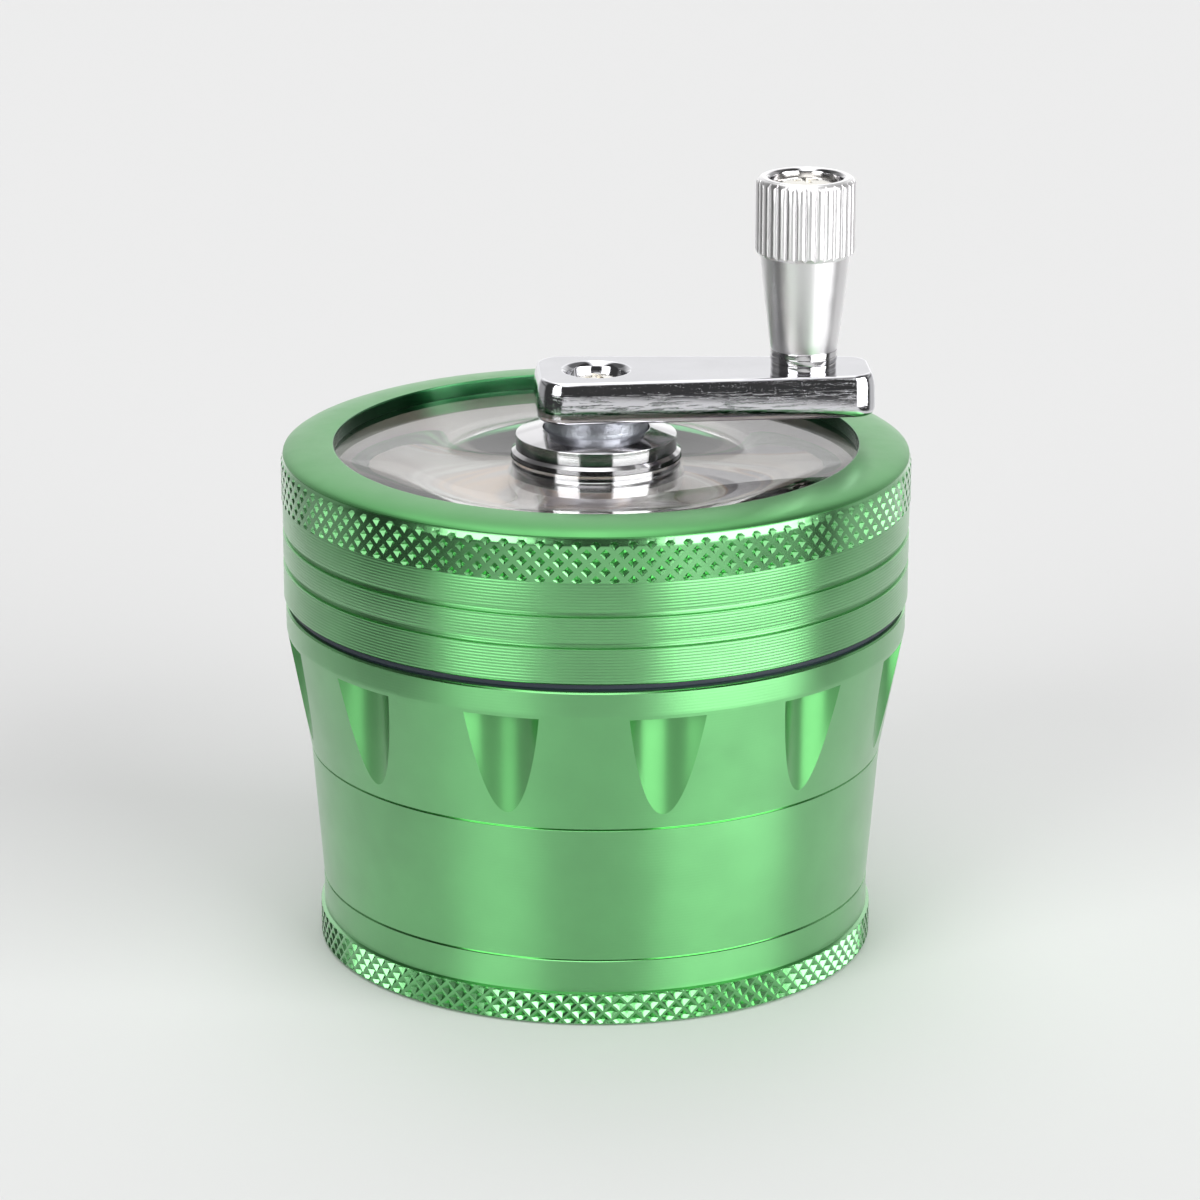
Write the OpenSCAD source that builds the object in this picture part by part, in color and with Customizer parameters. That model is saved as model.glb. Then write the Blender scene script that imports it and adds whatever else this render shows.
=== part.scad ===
// Hand-cranked four-section grinder: a pollen cup, a storage chamber with a
// screen, a fluted grinding chamber and a windowed lid stand on one another.
// A crank arm turns a toothed plate under the window through a central hub.
// Origin: centre of the bottom face.  +Z up.  The crank rests towards +X.

/* [Sections] */
// Outer radius of the lid, the widest part
lid_r = 31.5; // [31:0.1:33]
// Outer radius of the pollen cup above its knurled band
cup_r = 27.75; // [27.4:0.05:28]
// Outer radius at the joint of storage and grinding chamber
waist_r = 28.85; // [28.4:0.05:29.2]
// Height of the joint between pollen cup and storage chamber
cup_top = 6.7; // [6.2:0.1:7.4]
// Height of the joint between storage and grinding chamber
storage_top = 20.6; // [19.6:0.1:21.4]
// Height of the grinding chamber's shoulder, where the friction ring sits
shoulder_z = 35.3; // [34.6:0.1:36]
// Thickness of the friction ring's visible flange
ring_flange = 0.85; // [0.6:0.05:1.2]
// Height of the lid's top edge
lid_top = 51.6; // [51:0.1:52.4]

/* [Pollen cup] */
// Height of the knurled band at the foot
cup_band = 3.3; // [2.6:0.1:3.6]
// Thickness of the cup's floor
cup_floor = 1.4; // [1:0.1:2]

/* [Screw joints] */
// Radius of the male threads, at mid-depth
thread_r = 25.8; // [25.4:0.05:26]
// Length of each threaded spigot
spigot_h = 3.4; // [2.8:0.1:3.8]
// Radial running clearance of turning fits
fit = 0.08; // [0.03:0.01:0.1]
// Bore through the storage chamber's spigot
spigot_bore = 23.2; // [22:0.1:24]

/* [Grinding chamber] */
// Number of flutes round the outside
flutes = 12; // [8:1:16]
// Radius of each flute
flute_r = 5; // [4:0.1:6]
// Distance of each flute's axis from the centre
flute_at = 34.15; // [34:0.05:35]
// Angle of the first flute
flute_turn = 13; // [0:1:29]
// Height at which the flutes end under the collar
flute_top = 32.5; // [31:0.1:33.5]
// Radius of the grinding space
grind_r = 26.2; // [25.6:0.1:26.4]
// Height of the grinding floor's upper face
grind_floor = 26.6; // [25.6:0.1:27]
// Thickness of the grinding floor
floor_t = 2.4; // [1.8:0.1:3]
// Radius of the drop holes
drop_r = 2.3; // [1.8:0.1:2.3]

/* [Teeth] */
// Width of a diamond tooth along the radius
tooth_w = 2.9; // [2.2:0.1:3.2]
// Length of a diamond tooth round the circle
tooth_l = 4.4; // [3.4:0.1:4.6]
// Distance between neighbouring rings of teeth
tooth_step = 3.9; // [3.6:0.05:3.9]
// Radius of the innermost ring of chamber teeth
tooth_r0 = 8; // [7.8:0.1:8.2]

/* [Lid] */
// Radius of the window opening
window_open = 26.2; // [25.5:0.1:26.6]
// Thickness of the window
window_t = 3; // [2:0.1:3.4]
// Depth of the window's face below the lid's top edge
window_sink = 1.4; // [1:0.1:1.8]
// Depth of the two grooves round the lid
groove_d = 0.35; // [0.2:0.05:0.5]
// Height of each groove
groove_h = 0.55; // [0.4:0.05:0.8]

/* [Hub] */
// Radius of the hub's lower cylinder
hub_r = 8.45; // [8:0.05:9]
// Radius of the hub nut
nut_r = 8.05; // [7.8:0.05:8.4]
// Radius of the crank's journal in the hub
journal_r = 5.2; // [4.8:0.05:5.3]
// Height of the hub nut's upper rim
hub_top = 53.1; // [52.8:0.1:53.6]

/* [Crank] */
// Direction of the arm at rest, from +X towards +Y
arm_turn = 3.5; // [-10:0.5:10]
// Height of the arm's upper face
arm_top = 58.9; // [58.5:0.1:59.5]
// Thickness of the arm
arm_t = 4.25; // [3.8:0.05:4.4]
// Half width of the arm over the hub
arm_w0 = 6; // [5.6:0.1:6.4]
// Half width of the arm at the knob
arm_w1 = 4.4; // [4.2:0.1:5]
// Distance from the hub's axis to the knob's axis
crank_len = 20.7; // [19.5:0.1:21.2]

/* [Knob] */
// Height of the knob's upper face
knob_top = 78.3; // [77:0.1:79]
// Radius of the knob's fluted grip
grip_r = 4.95; // [4.7:0.05:5.2]
// Number of flutes round the grip
grip_flutes = 30; // [24:1:32]
// Radius of the pin that the knob turns on
pin_r = 2; // [1.8:0.05:2.2]

/* [Hidden] */

GREEN = [0.36, 0.62, 0.40];
DARK_GREEN = [0.28, 0.52, 0.33];
STEEL = [0.80, 0.80, 0.79];
CHROME = [0.72, 0.72, 0.74];
SATIN = [0.83, 0.83, 0.83];

edge = 0.2;                                  // small bevels at the joints
band_r = lid_r - 0.1;                        // lid between its knurled bands
collar_r = lid_r - 0.3;                      // grinding chamber's collar
lid_bottom = shoulder_z + ring_flange;
window_top = lid_top - window_sink;
window_under = window_top - window_t;
ring_sleeve = 3.35;                          // friction ring inside the lid
spigot_r = 28;                               // plain spigot that carries the lid
slip = 0.05;                                 // clearance of the friction ring
lid_bore = spigot_r + 0.9;
spigot_top = shoulder_z + 5.9;
pocket_r = window_open + 1.5;                // pocket that holds the window
screen_z = cup_top + 1.7;                    // shoulder that carries the screen
screen_r = 24.9;
screen_t = 0.25;
magnet_r = 4;
boss_r = 5.2;                                // centre boss that holds a magnet
chamber_boss_top = 38.4;
magnet_h = 2.4;
plate_top = window_under - 3.4;
plate_under = plate_top - 2.4;
plate_r = grind_r - 0.5;
plate_boss_under = chamber_boss_top + 0.4;
flange_t = 3.1;                              // hub flange under the window
flange_r = hub_r + 0.95;
neck_r = 7;                                  // hub's thread under its nut
neck_top = 51.9;
nut_under = 51;
stem_r = 3.4;                                // drive stem on the toothed plate
stem_flat = 2.6;
stem_top = 52.5;
screw_r = 1.5;
seat_z = arm_top - 2.3;                      // seat of the crank screw's head
washer_t = 0.8;
knob_base = arm_top + washer_t;
recess_z = knob_top - 1.6;
$fn = 96;

// A ring of revolution between two radii
module tube(r_out, r_in, z0, z1) {
    translate([0, 0, z0]) difference() {
        cylinder(h = z1 - z0, r = r_out);
        translate([0, 0, -1]) cylinder(h = z1 - z0 + 2, r = r_in);
    }
}

// Points on an arc of radius r round [x, z], from angle a0 to a1
function arc(x, z, r, a0, a1, steps = 8) = [
    for (i = [0:steps])
        let (a = a0 + (a1 - a0) * i / steps)
        [x + r * cos(a), z + r * sin(a)]
];

// Diamond teeth in one ring
module tooth_ring(r, count, z0, z1, turn = 0) {
    for (i = [0:count - 1])
        rotate([0, 0, turn + 360 * i / count])
            translate([r, 0, z0])
                linear_extrude(height = z1 - z0)
                    polygon([[-tooth_w / 2, 0], [0, -tooth_l / 2],
                             [tooth_w / 2, 0], [0, tooth_l / 2]]);
}

// Bar with two flats, the shape of the drive stem
module two_flats(r, flat, z0, z1) {
    translate([0, 0, z0]) intersection() {
        cylinder(h = z1 - z0, r = r);
        translate([-r - 1, -flat, 0]) cube([2 * r + 2, 2 * flat, z1 - z0]);
    }
}

// Cross recess of a screw head, cut down from z
module cross_recess(z, reach, depth, blade = 0.7) {
    for (turn = [0, 90])
        rotate([0, 0, turn])
            translate([-reach, -blade / 2, z - depth])
                cube([2 * reach, blade, depth + 1]);
}

// Everything that rides on the crank points along the arm
module along_arm() {
    rotate([0, 0, arm_turn]) children();
}

module at_knob() {
    along_arm() translate([crank_len, 0, 0]) children();
}

module pollen_cup() {
    color(GREEN) rotate_extrude() polygon(concat(
        [[0, 0], [cup_r + 0.1, 0], [cup_r + 0.35, 0.25], [cup_r + 0.35, cup_band],
         [cup_r, cup_band], [cup_r, cup_top - edge], [cup_r - edge, cup_top],
         [thread_r + fit, cup_top], [thread_r + fit, cup_top - spigot_h - 0.1],
         [thread_r - 0.6, cup_top - spigot_h - 0.1]],
        arc(thread_r - 2.1, cup_floor + 1.5, 1.5, 0, -90),
        [[0, cup_floor]]));
}

module storage_chamber() {
    neck_z = storage_top - spigot_h - 0.3;
    color(GREEN) rotate_extrude() polygon(concat(
        [[spigot_bore, cup_top - spigot_h], [thread_r, cup_top - spigot_h],
         [thread_r, cup_top], [cup_r - edge, cup_top], [cup_r, cup_top + edge],
         [waist_r, storage_top - edge], [waist_r - edge, storage_top],
         [thread_r + fit, storage_top], [thread_r + fit, neck_z],
         [screen_r + 0.1, neck_z - 0.8]],
        [[screen_r + 0.1, screen_z], [spigot_bore, screen_z]]));
}

module pollen_screen() {
    color(STEEL) translate([0, 0, screen_z]) cylinder(h = screen_t, r = screen_r);
}

module screen_ring() {
    wire = 1;
    color(STEEL) tube(screen_r + 0.05, screen_r - 1.3,
                      screen_z + screen_t, screen_z + screen_t + wire);
}

module grinding_chamber() {
    under = grind_floor - floor_t;
    bore = spigot_bore + 0.3;
    holes = [[tooth_r0 + tooth_step, 8], [tooth_r0 + 3 * tooth_step, 12]];
    color(GREEN) difference() {
        rotate_extrude() polygon([
            [0, under], [bore, under], [bore, storage_top - spigot_h],
            [thread_r, storage_top - spigot_h], [thread_r, storage_top],
            [waist_r - edge, storage_top], [waist_r + 0.05, storage_top + edge],
            [collar_r, flute_top + 0.4], [collar_r, shoulder_z - edge],
            [collar_r - edge, shoulder_z], [spigot_r, shoulder_z],
            [spigot_r, spigot_top - 0.3], [spigot_r - 0.3, spigot_top],
            [grind_r, spigot_top], [grind_r, grind_floor], [boss_r, grind_floor],
            [boss_r, chamber_boss_top], [magnet_r + slip, chamber_boss_top],
            [magnet_r + slip, chamber_boss_top - magnet_h - 0.1],
            [0, chamber_boss_top - magnet_h - 0.1]]);
        for (i = [0:flutes - 1])
            rotate([0, 0, flute_turn + 360 * i / flutes])
                translate([flute_at, 0, storage_top - 1])
                    cylinder(h = flute_top - storage_top + 1, r = flute_r);
        for (ring = holes, i = [0:ring[1] - 1])
            rotate([0, 0, 360 * (i + 0.5) / ring[1]])
                translate([ring[0], 0, under - 1])
                    cylinder(h = floor_t + 2, r = drop_r);
    }
}

module chamber_teeth() {
    color(DARK_GREEN) for (ring = [0:2])
        tooth_ring(tooth_r0 + 2 * ring * tooth_step, 6 + 6 * ring,
                   grind_floor, plate_under - 0.8);
}

module chamber_magnet() {
    z = chamber_boss_top - magnet_h - 0.1;
    color(STEEL) translate([0, 0, z]) cylinder(h = magnet_h, r = magnet_r);
}

module friction_ring() {
    inner = spigot_r + slip;
    color([0.22, 0.25, 0.30]) rotate_extrude() polygon([
        [inner, shoulder_z], [lid_r - 0.5, shoulder_z], [lid_r - 0.5, lid_bottom],
        [lid_bore - slip, lid_bottom], [lid_bore - slip, lid_bottom + ring_sleeve],
        [inner, lid_bottom + ring_sleeve]]);
}

module lid_ring() {
    knurl_z0 = lid_bottom + 10.15;
    knurl_z1 = lid_bottom + 13.95;
    crown_x = window_open;
    color(GREEN) difference() {
        rotate_extrude() polygon(concat(
            [[lid_bore, lid_bottom], [band_r - edge, lid_bottom],
             [band_r, lid_bottom + edge], [band_r, knurl_z0], [lid_r, knurl_z0],
             [lid_r, knurl_z1]],
            [for (i = [0:10])
                let (a = 90 * i / 10)
                [crown_x + (band_r - crown_x) * cos(a),
                 knurl_z1 + (lid_top - knurl_z1) * sin(a)]],
            [[window_open, window_top], [pocket_r, window_top],
             [pocket_r, lid_bottom + 6.05], [lid_bore, lid_bottom + 6.05]]));
        for (z = [3.6, 6.7])
            tube(band_r + 1, band_r - groove_d, lid_bottom + z, lid_bottom + z + groove_h);
    }
}

module window() {
    color([0.85, 0.87, 0.90, 0.35])
        tube(pocket_r - slip, hub_r + slip, window_under, window_top);
}

module window_ring() {
    color(STEEL) tube(pocket_r - 0.02, window_open + 0.1, window_under - 3, window_under);
}

module hub_bush() {
    under = window_under - flange_t;
    color(STEEL) rotate_extrude() polygon([
        [journal_r + fit, under], [flange_r - 0.2, under], [flange_r, under + 0.2],
        [flange_r, window_under - 1.3], [hub_r + 0.25, window_under],
        [hub_r, window_under], [hub_r, nut_under - 0.15], [hub_r - 0.15, nut_under],
        [neck_r, nut_under], [neck_r, neck_top], [journal_r + fit, neck_top]]);
}

module hub_nut() {
    color(STEEL) rotate_extrude() polygon([
        [neck_r + 0.02, nut_under], [nut_r - 0.15, nut_under],
        [nut_r, nut_under + 0.15], [nut_r, hub_top - 0.7],
        [journal_r + fit + 0.2, hub_top], [journal_r + fit, hub_top - 0.15],
        [journal_r + fit, neck_top + 0.02], [neck_r + 0.02, neck_top + 0.02]]);
}

module thrust_washer() {
    color([0.90, 0.88, 0.82])
        tube(hub_r + 0.6, journal_r + 0.2, plate_top, window_under - flange_t);
}

module tooth_plate() {
    color(STEEL) difference() {
        union() {
            rotate_extrude() polygon([
                [0, plate_boss_under], [boss_r, plate_boss_under],
                [boss_r, plate_under], [plate_r - 0.3, plate_under],
                [plate_r, plate_under + 0.3], [plate_r, plate_top - 0.3],
                [plate_r - 0.3, plate_top], [0, plate_top]]);
            two_flats(stem_r, stem_flat, plate_top - 1, stem_top);
        }
        translate([0, 0, plate_top - 1]) cylinder(h = 12, r = screw_r);
        translate([0, 0, plate_boss_under - 1]) cylinder(h = 1 + 2.2, r = magnet_r + 0.02);
    }
}

module plate_teeth() {
    color(STEEL) for (ring = [0:1])
        tooth_ring(tooth_r0 + (2 * ring + 1) * tooth_step, 9 + 3 * ring,
                   grind_floor + 4.6, plate_under, 15);
}

module plate_magnet() {
    color(STEEL) translate([0, 0, plate_boss_under + 0.1])
        cylinder(h = 2.1, r = magnet_r);
}

// Outline of the arm: four rounded corners joined by their tangents
module arm_outline() {
    tail = -6.1;
    nose = 27.7;
    r0 = 3;
    r1 = 2.3;
    a = [tail + r0, arm_w0 - r0];
    b = [nose - r1, arm_w1 - r1];
    lean = atan2(b[1] - a[1], b[0] - a[0]) + acos((r0 - r1) / norm(b - a));
    upper = concat(arc(a[0], a[1], r0, 180, lean), arc(b[0], b[1], r1, lean, 0));
    last = len(upper) - 1;
    polygon(concat(upper, [for (i = [0:last]) [upper[last - i][0], -upper[last - i][1]]]));
}

module crank_arm() {
    socket = 0.02;
    color(CHROME) along_arm() difference() {
        union() {
            translate([0, 0, arm_top - arm_t])
                linear_extrude(height = arm_t) arm_outline();
            translate([0, 0, plate_top])
                cylinder(h = arm_top - arm_t - plate_top + 0.5, r = journal_r);
        }
        translate([0, 0, plate_top - 1]) cylinder(h = 20, r = screw_r + 0.1);
        translate([0, 0, seat_z]) cylinder(h = 10, r = 2.95);
        translate([0, 0, arm_top - 0.35]) cylinder(h = 0.5, r1 = 2.95, r2 = 3.45);
        rotate([0, 0, -arm_turn])
            two_flats(stem_r + socket, stem_flat + socket, plate_top - 1, stem_top + 0.1);
        translate([crank_len, 0, arm_top - arm_t - 1]) cylinder(h = 10, r = screw_r);
    }
}

module crank_screw() {
    head_r = 2.65;
    color(STEEL) difference() {
        rotate_extrude() polygon(concat(
            [[0, plate_top + 1], [screw_r - 0.02, plate_top + 1],
             [screw_r - 0.02, seat_z], [head_r, seat_z], [head_r, seat_z + 0.7]],
            [for (i = [1:8]) let (a = 90 * i / 8)
                [head_r * cos(a), seat_z + 0.7 + 1.0 * sin(a)]]));
        rotate([0, 0, 30]) cross_recess(seat_z + 1.8, 1.35, 1.2);
    }
}

module knob_washer() {
    color(STEEL) at_knob() tube(3.3, pin_r + 0.02, arm_top, knob_base);
}

module knob() {
    collar = 3.35;
    taper_z0 = knob_base + 1.2;
    grip_z = knob_top - 7.85;
    color(SATIN) at_knob() difference() {
        rotate_extrude() polygon([
            [0, knob_base], [collar - 0.15, knob_base], [collar, knob_base + 0.15],
            [collar, taper_z0], [collar - 0.05, taper_z0], [4.45, grip_z],
            [grip_r - 0.1, grip_z + 0.25], [grip_r, grip_z + 0.5],
            [grip_r, knob_top - 0.35], [grip_r - 0.35, knob_top], [0, knob_top]]);
        translate([0, 0, knob_base - 1]) cylinder(h = 30, r = pin_r + fit);
        translate([0, 0, recess_z]) cylinder(h = 5, r = 3.6);
        for (i = [0:grip_flutes - 1])
            rotate([0, 0, 360 * i / grip_flutes])
                translate([grip_r + 0.12, 0, grip_z + 0.1])
                    cylinder(h = 10, r = 0.42);
    }
}

module knob_screw() {
    head_r = 3.2;
    under = recess_z + 0.05;
    color(STEEL) at_knob() difference() {
        rotate_extrude() polygon(concat(
            [[0, arm_top - arm_t + 0.4], [screw_r - 0.02, arm_top - arm_t + 0.4],
             [screw_r - 0.02, arm_top], [pin_r, arm_top], [pin_r, under],
             [head_r, under], [head_r, under + 0.4]],
            [for (i = [1:8]) let (a = 90 * i / 8)
                [head_r * cos(a), under + 0.4 + 0.8 * sin(a)]]));
        cross_recess(under + 1.25, 1.5, 0.9);
    }
}

pollen_cup();
storage_chamber();
pollen_screen();
screen_ring();
grinding_chamber();
chamber_teeth();
chamber_magnet();
friction_ring();
lid_ring();
window();
window_ring();
hub_bush();
hub_nut();
thrust_washer();
tooth_plate();
plate_teeth();
plate_magnet();
crank_arm();
crank_screw();
knob_washer();
knob();
knob_screw();
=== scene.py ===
"""Looks of a hand-cranked four-section grinder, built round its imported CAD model.

Every class works in millimetres in the model's own frame: origin at the centre of the foot, +Z up, front
towards -Y.  Mesh data is turned to metres when it is made.
"""

import logging
import math
from dataclasses import dataclass, field, replace
from enum import Enum
from typing import Callable, Iterable, Optional, Protocol, Sequence, Union

import bmesh
import bpy
from mathutils import Euler, Matrix, Vector


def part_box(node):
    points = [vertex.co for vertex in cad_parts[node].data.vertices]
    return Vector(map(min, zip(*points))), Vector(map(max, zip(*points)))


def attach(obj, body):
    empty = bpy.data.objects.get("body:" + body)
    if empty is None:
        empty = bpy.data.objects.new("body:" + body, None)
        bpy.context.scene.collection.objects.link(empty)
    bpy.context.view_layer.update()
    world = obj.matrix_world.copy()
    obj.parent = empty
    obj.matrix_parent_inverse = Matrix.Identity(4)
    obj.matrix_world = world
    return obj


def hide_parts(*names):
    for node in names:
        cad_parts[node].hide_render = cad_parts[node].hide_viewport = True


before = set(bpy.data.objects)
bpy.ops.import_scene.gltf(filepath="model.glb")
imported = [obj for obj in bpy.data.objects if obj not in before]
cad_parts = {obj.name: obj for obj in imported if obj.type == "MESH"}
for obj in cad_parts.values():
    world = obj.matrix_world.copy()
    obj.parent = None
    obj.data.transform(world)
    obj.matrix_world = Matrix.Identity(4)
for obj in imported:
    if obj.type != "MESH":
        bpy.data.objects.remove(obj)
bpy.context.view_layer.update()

MM = 0.001
LOG = logging.getLogger("grinder")

Tree = bpy.types.NodeTree
Socket = bpy.types.NodeSocket
Feed = Union[Socket, float, tuple[float, ...]]
Feeds = dict[Union[str, int], Feed]
Material = bpy.types.Material
Piece = bpy.types.Object
Shape = bmesh.types.BMesh
Vert = bmesh.types.BMVert

CREASE = 32.0  # degrees; an edge above this angle stays crisp
MERGE = 0.0005  # mm; points closer than this are one
SLIVER = 0.0002  # mm; shorter edges are dissolved
AXIS = 1e-6  # mm; a smaller radius is a point on the axis
CORNER_SHARE = 0.45  # of a side that one rounding may take up
ORIGIN = Vector((0, 0, 0))


# ---------------------------------------------------------------- colours and nodes


def linear(colour: str) -> tuple[float, float, float, float]:
    """Turns an sRGB hex colour to linear, by the standard's own curve.

    Args:
        colour: six hex digits after a hash.

    Returns:
        Linear red, green and blue, and an alpha of 1.
    """
    parts = [int(colour[i : i + 2], 16) / 255 for i in (1, 3, 5)]
    r, g, b = (p / 12.92 if p <= 0.04045 else ((p + 0.055) / 1.055) ** 2.4 for p in parts)
    return r, g, b, 1.0


def add(tree: Tree, kind: str, links: Optional[Feeds] = None, **settings: str) -> bpy.types.Node:
    """Adds a node with its settings and links.

    Args:
        tree: the node tree.
        kind: the node's type name.
        links: input name or number to the output socket that feeds it, or to a plain value.
        settings: attributes of the node.

    Returns:
        The new node.
    """
    node = tree.nodes.new(kind)
    for key, value in settings.items():
        setattr(node, key, value)
    for key, value in (links or {}).items():
        socket = node.inputs[key]
        if isinstance(value, Socket):
            tree.links.new(value, socket)
        else:
            socket.default_value = value
    return node


def ramp(tree: Tree, factor: Socket, stops: Sequence[tuple[float, str]]) -> Socket:
    """Adds a colour ramp.

    Args:
        tree: the node tree.
        factor: the value that is looked up.
        stops: place and sRGB colour of each stop, in order.

    Returns:
        The ramp's colour socket.
    """
    node = add(tree, "ShaderNodeValToRGB", {"Fac": factor})
    points = node.color_ramp.elements
    while len(points) < len(stops):
        points.new(0.5)
    for point, (place, colour) in zip(points, stops):
        point.position = place
        point.color = linear(colour)
    return node.outputs["Color"]


# ---------------------------------------------------------------- finishes


@dataclass(frozen=True)
class Finish:
    """A surface finish: what the shader's own sockets hold, and the real sizes of its detail."""

    name: str
    colour: str
    metallic: float = 0.0
    roughness: float = 0.4
    coat: float = 0.0
    coat_roughness: float = 0.1
    anisotropy: float = 0.0
    transmission: float = 0.0
    ior: float = 1.5
    lines_mm: float = 0.0  # from one of the tool's lines to the next
    line_depth_mm: float = 0.0
    grain_mm: float = 0.4
    grain_depth_mm: float = 0.0
    mottle: float = 0.06  # how much darker the colour's clouds are
    cloud_mm: float = 6.0
    smear_mm: float = 3.5  # size of a handling mark
    smear_gloss: tuple[float, float] = (0.88, 1.14)  # roughness, times this where clean and where touched
    coat_ior: float = 1.7  # of the oxide skin that anodising leaves

    def colour_socket(self, tree: Tree, place: Socket) -> Socket:
        """Colour with faint cloudy variation, as every real finish has.

        Args:
            tree: the material's node tree.
            place: object coordinates.

        Returns:
            The colour socket.
        """
        cloud = add(tree, "ShaderNodeTexNoise", {
            "Vector": place,
            "Scale": 1 / (self.cloud_mm * MM),
            "Detail": 4.0,
        })
        tone = add(tree, "ShaderNodeMapRange", {
            "Value": cloud.outputs["Fac"],
            "From Min": 0.3,
            "From Max": 0.7,
            "To Min": 1 - self.mottle,
            "To Max": 1 + self.mottle / 2,
        })
        base = add(tree, "ShaderNodeMixRGB", {
            "Fac": 1.0,
            "Color1": linear(self.colour),
            "Color2": tone.outputs["Result"],
        }, blend_type="MULTIPLY")
        return base.outputs["Color"]

    def roughness_socket(self, tree: Tree, place: Socket) -> Socket:
        """Roughness with handling marks.

        Args:
            tree: the material's node tree.
            place: object coordinates.

        Returns:
            The roughness socket.
        """
        smear = add(tree, "ShaderNodeTexNoise", {
            "Vector": place,
            "Scale": 1 / (self.smear_mm * MM),
            "Detail": 5.0,
            "Roughness": 0.6,
        })
        clean, touched = self.smear_gloss
        level = add(tree, "ShaderNodeMapRange", {
            "Value": smear.outputs["Fac"],
            "From Min": 0.25,
            "From Max": 0.75,
            "To Min": self.roughness * clean,
            "To Max": self.roughness * touched,
        })
        return level.outputs["Result"]

    def relief_socket(self, tree: Tree, place: Socket) -> Socket:
        """Turning lines and grain as a normal.

        Args:
            tree: the material's node tree.
            place: object coordinates.

        Returns:
            The normal socket.
        """
        normal = None
        if self.line_depth_mm:
            # a sine wave's period is a twentieth of a turn in the texture's own units
            lines = add(tree, "ShaderNodeTexWave", {
                "Vector": place,
                "Scale": math.tau / 20 / (self.lines_mm * MM),
                "Distortion": 0.0,
            }, wave_type="BANDS", bands_direction="Z")
            bump = add(tree, "ShaderNodeBump", {
                "Height": lines.outputs["Fac"],
                "Strength": 1.0,
                "Distance": self.line_depth_mm * MM,
            })
            normal = bump.outputs["Normal"]
        grain = add(tree, "ShaderNodeTexNoise", {
            "Vector": place,
            "Scale": 1 / (self.grain_mm * MM),
            "Detail": 3.0,
        })
        links: Feeds = {
            "Height": grain.outputs["Fac"],
            "Strength": 1.0,
            "Distance": self.grain_depth_mm * MM,
        }
        if normal:
            links["Normal"] = normal
        return add(tree, "ShaderNodeBump", links).outputs["Normal"]

    def material(self) -> Material:
        """Builds the material once.

        Returns:
            The material of this finish.
        """
        known = bpy.data.materials.get(self.name)
        if known:
            return known
        made = bpy.data.materials.new(self.name)
        made.use_nodes = True
        tree = made.node_tree
        shader = tree.nodes["Principled BSDF"]
        place = add(tree, "ShaderNodeTexCoord").outputs["Object"]
        tree.links.new(self.colour_socket(tree, place), shader.inputs["Base Color"])
        tree.links.new(self.roughness_socket(tree, place), shader.inputs["Roughness"])
        tree.links.new(self.relief_socket(tree, place), shader.inputs["Normal"])
        even = {
            "Metallic": self.metallic,
            "Coat Weight": self.coat,
            "Coat Roughness": self.coat_roughness,
            "Coat IOR": self.coat_ior,
            "Transmission Weight": self.transmission,
            "IOR": self.ior,
        }
        for socket, value in even.items():
            shader.inputs[socket].default_value = value
        if self.anisotropy:
            # a quarter turn lays the stretched highlight across the tool's lines
            shader.inputs["Anisotropic"].default_value = self.anisotropy
            shader.inputs["Anisotropic Rotation"].default_value = 0.25
            tangent = add(tree, "ShaderNodeTangent", direction_type="RADIAL", axis="Z")
            tree.links.new(tangent.outputs["Tangent"], shader.inputs["Tangent"])
        return made


# Tones of the painted reflection on the chromed plate, in the order its streaks run through them.
PLATE_REFLECTION_TONES = (
    (0.30, "#7d7080"),
    (0.365, "#a3939c"),
    (0.39, "#c09a86"),
    (0.42, "#f8ebe2"),
    (0.47, "#e2d4d0"),
    (0.52, "#fffaf6"),
    (0.57, "#e4d8d4"),
    (0.62, "#f8decb"),
    (0.70, "#d2c7cb"),
)


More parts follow.
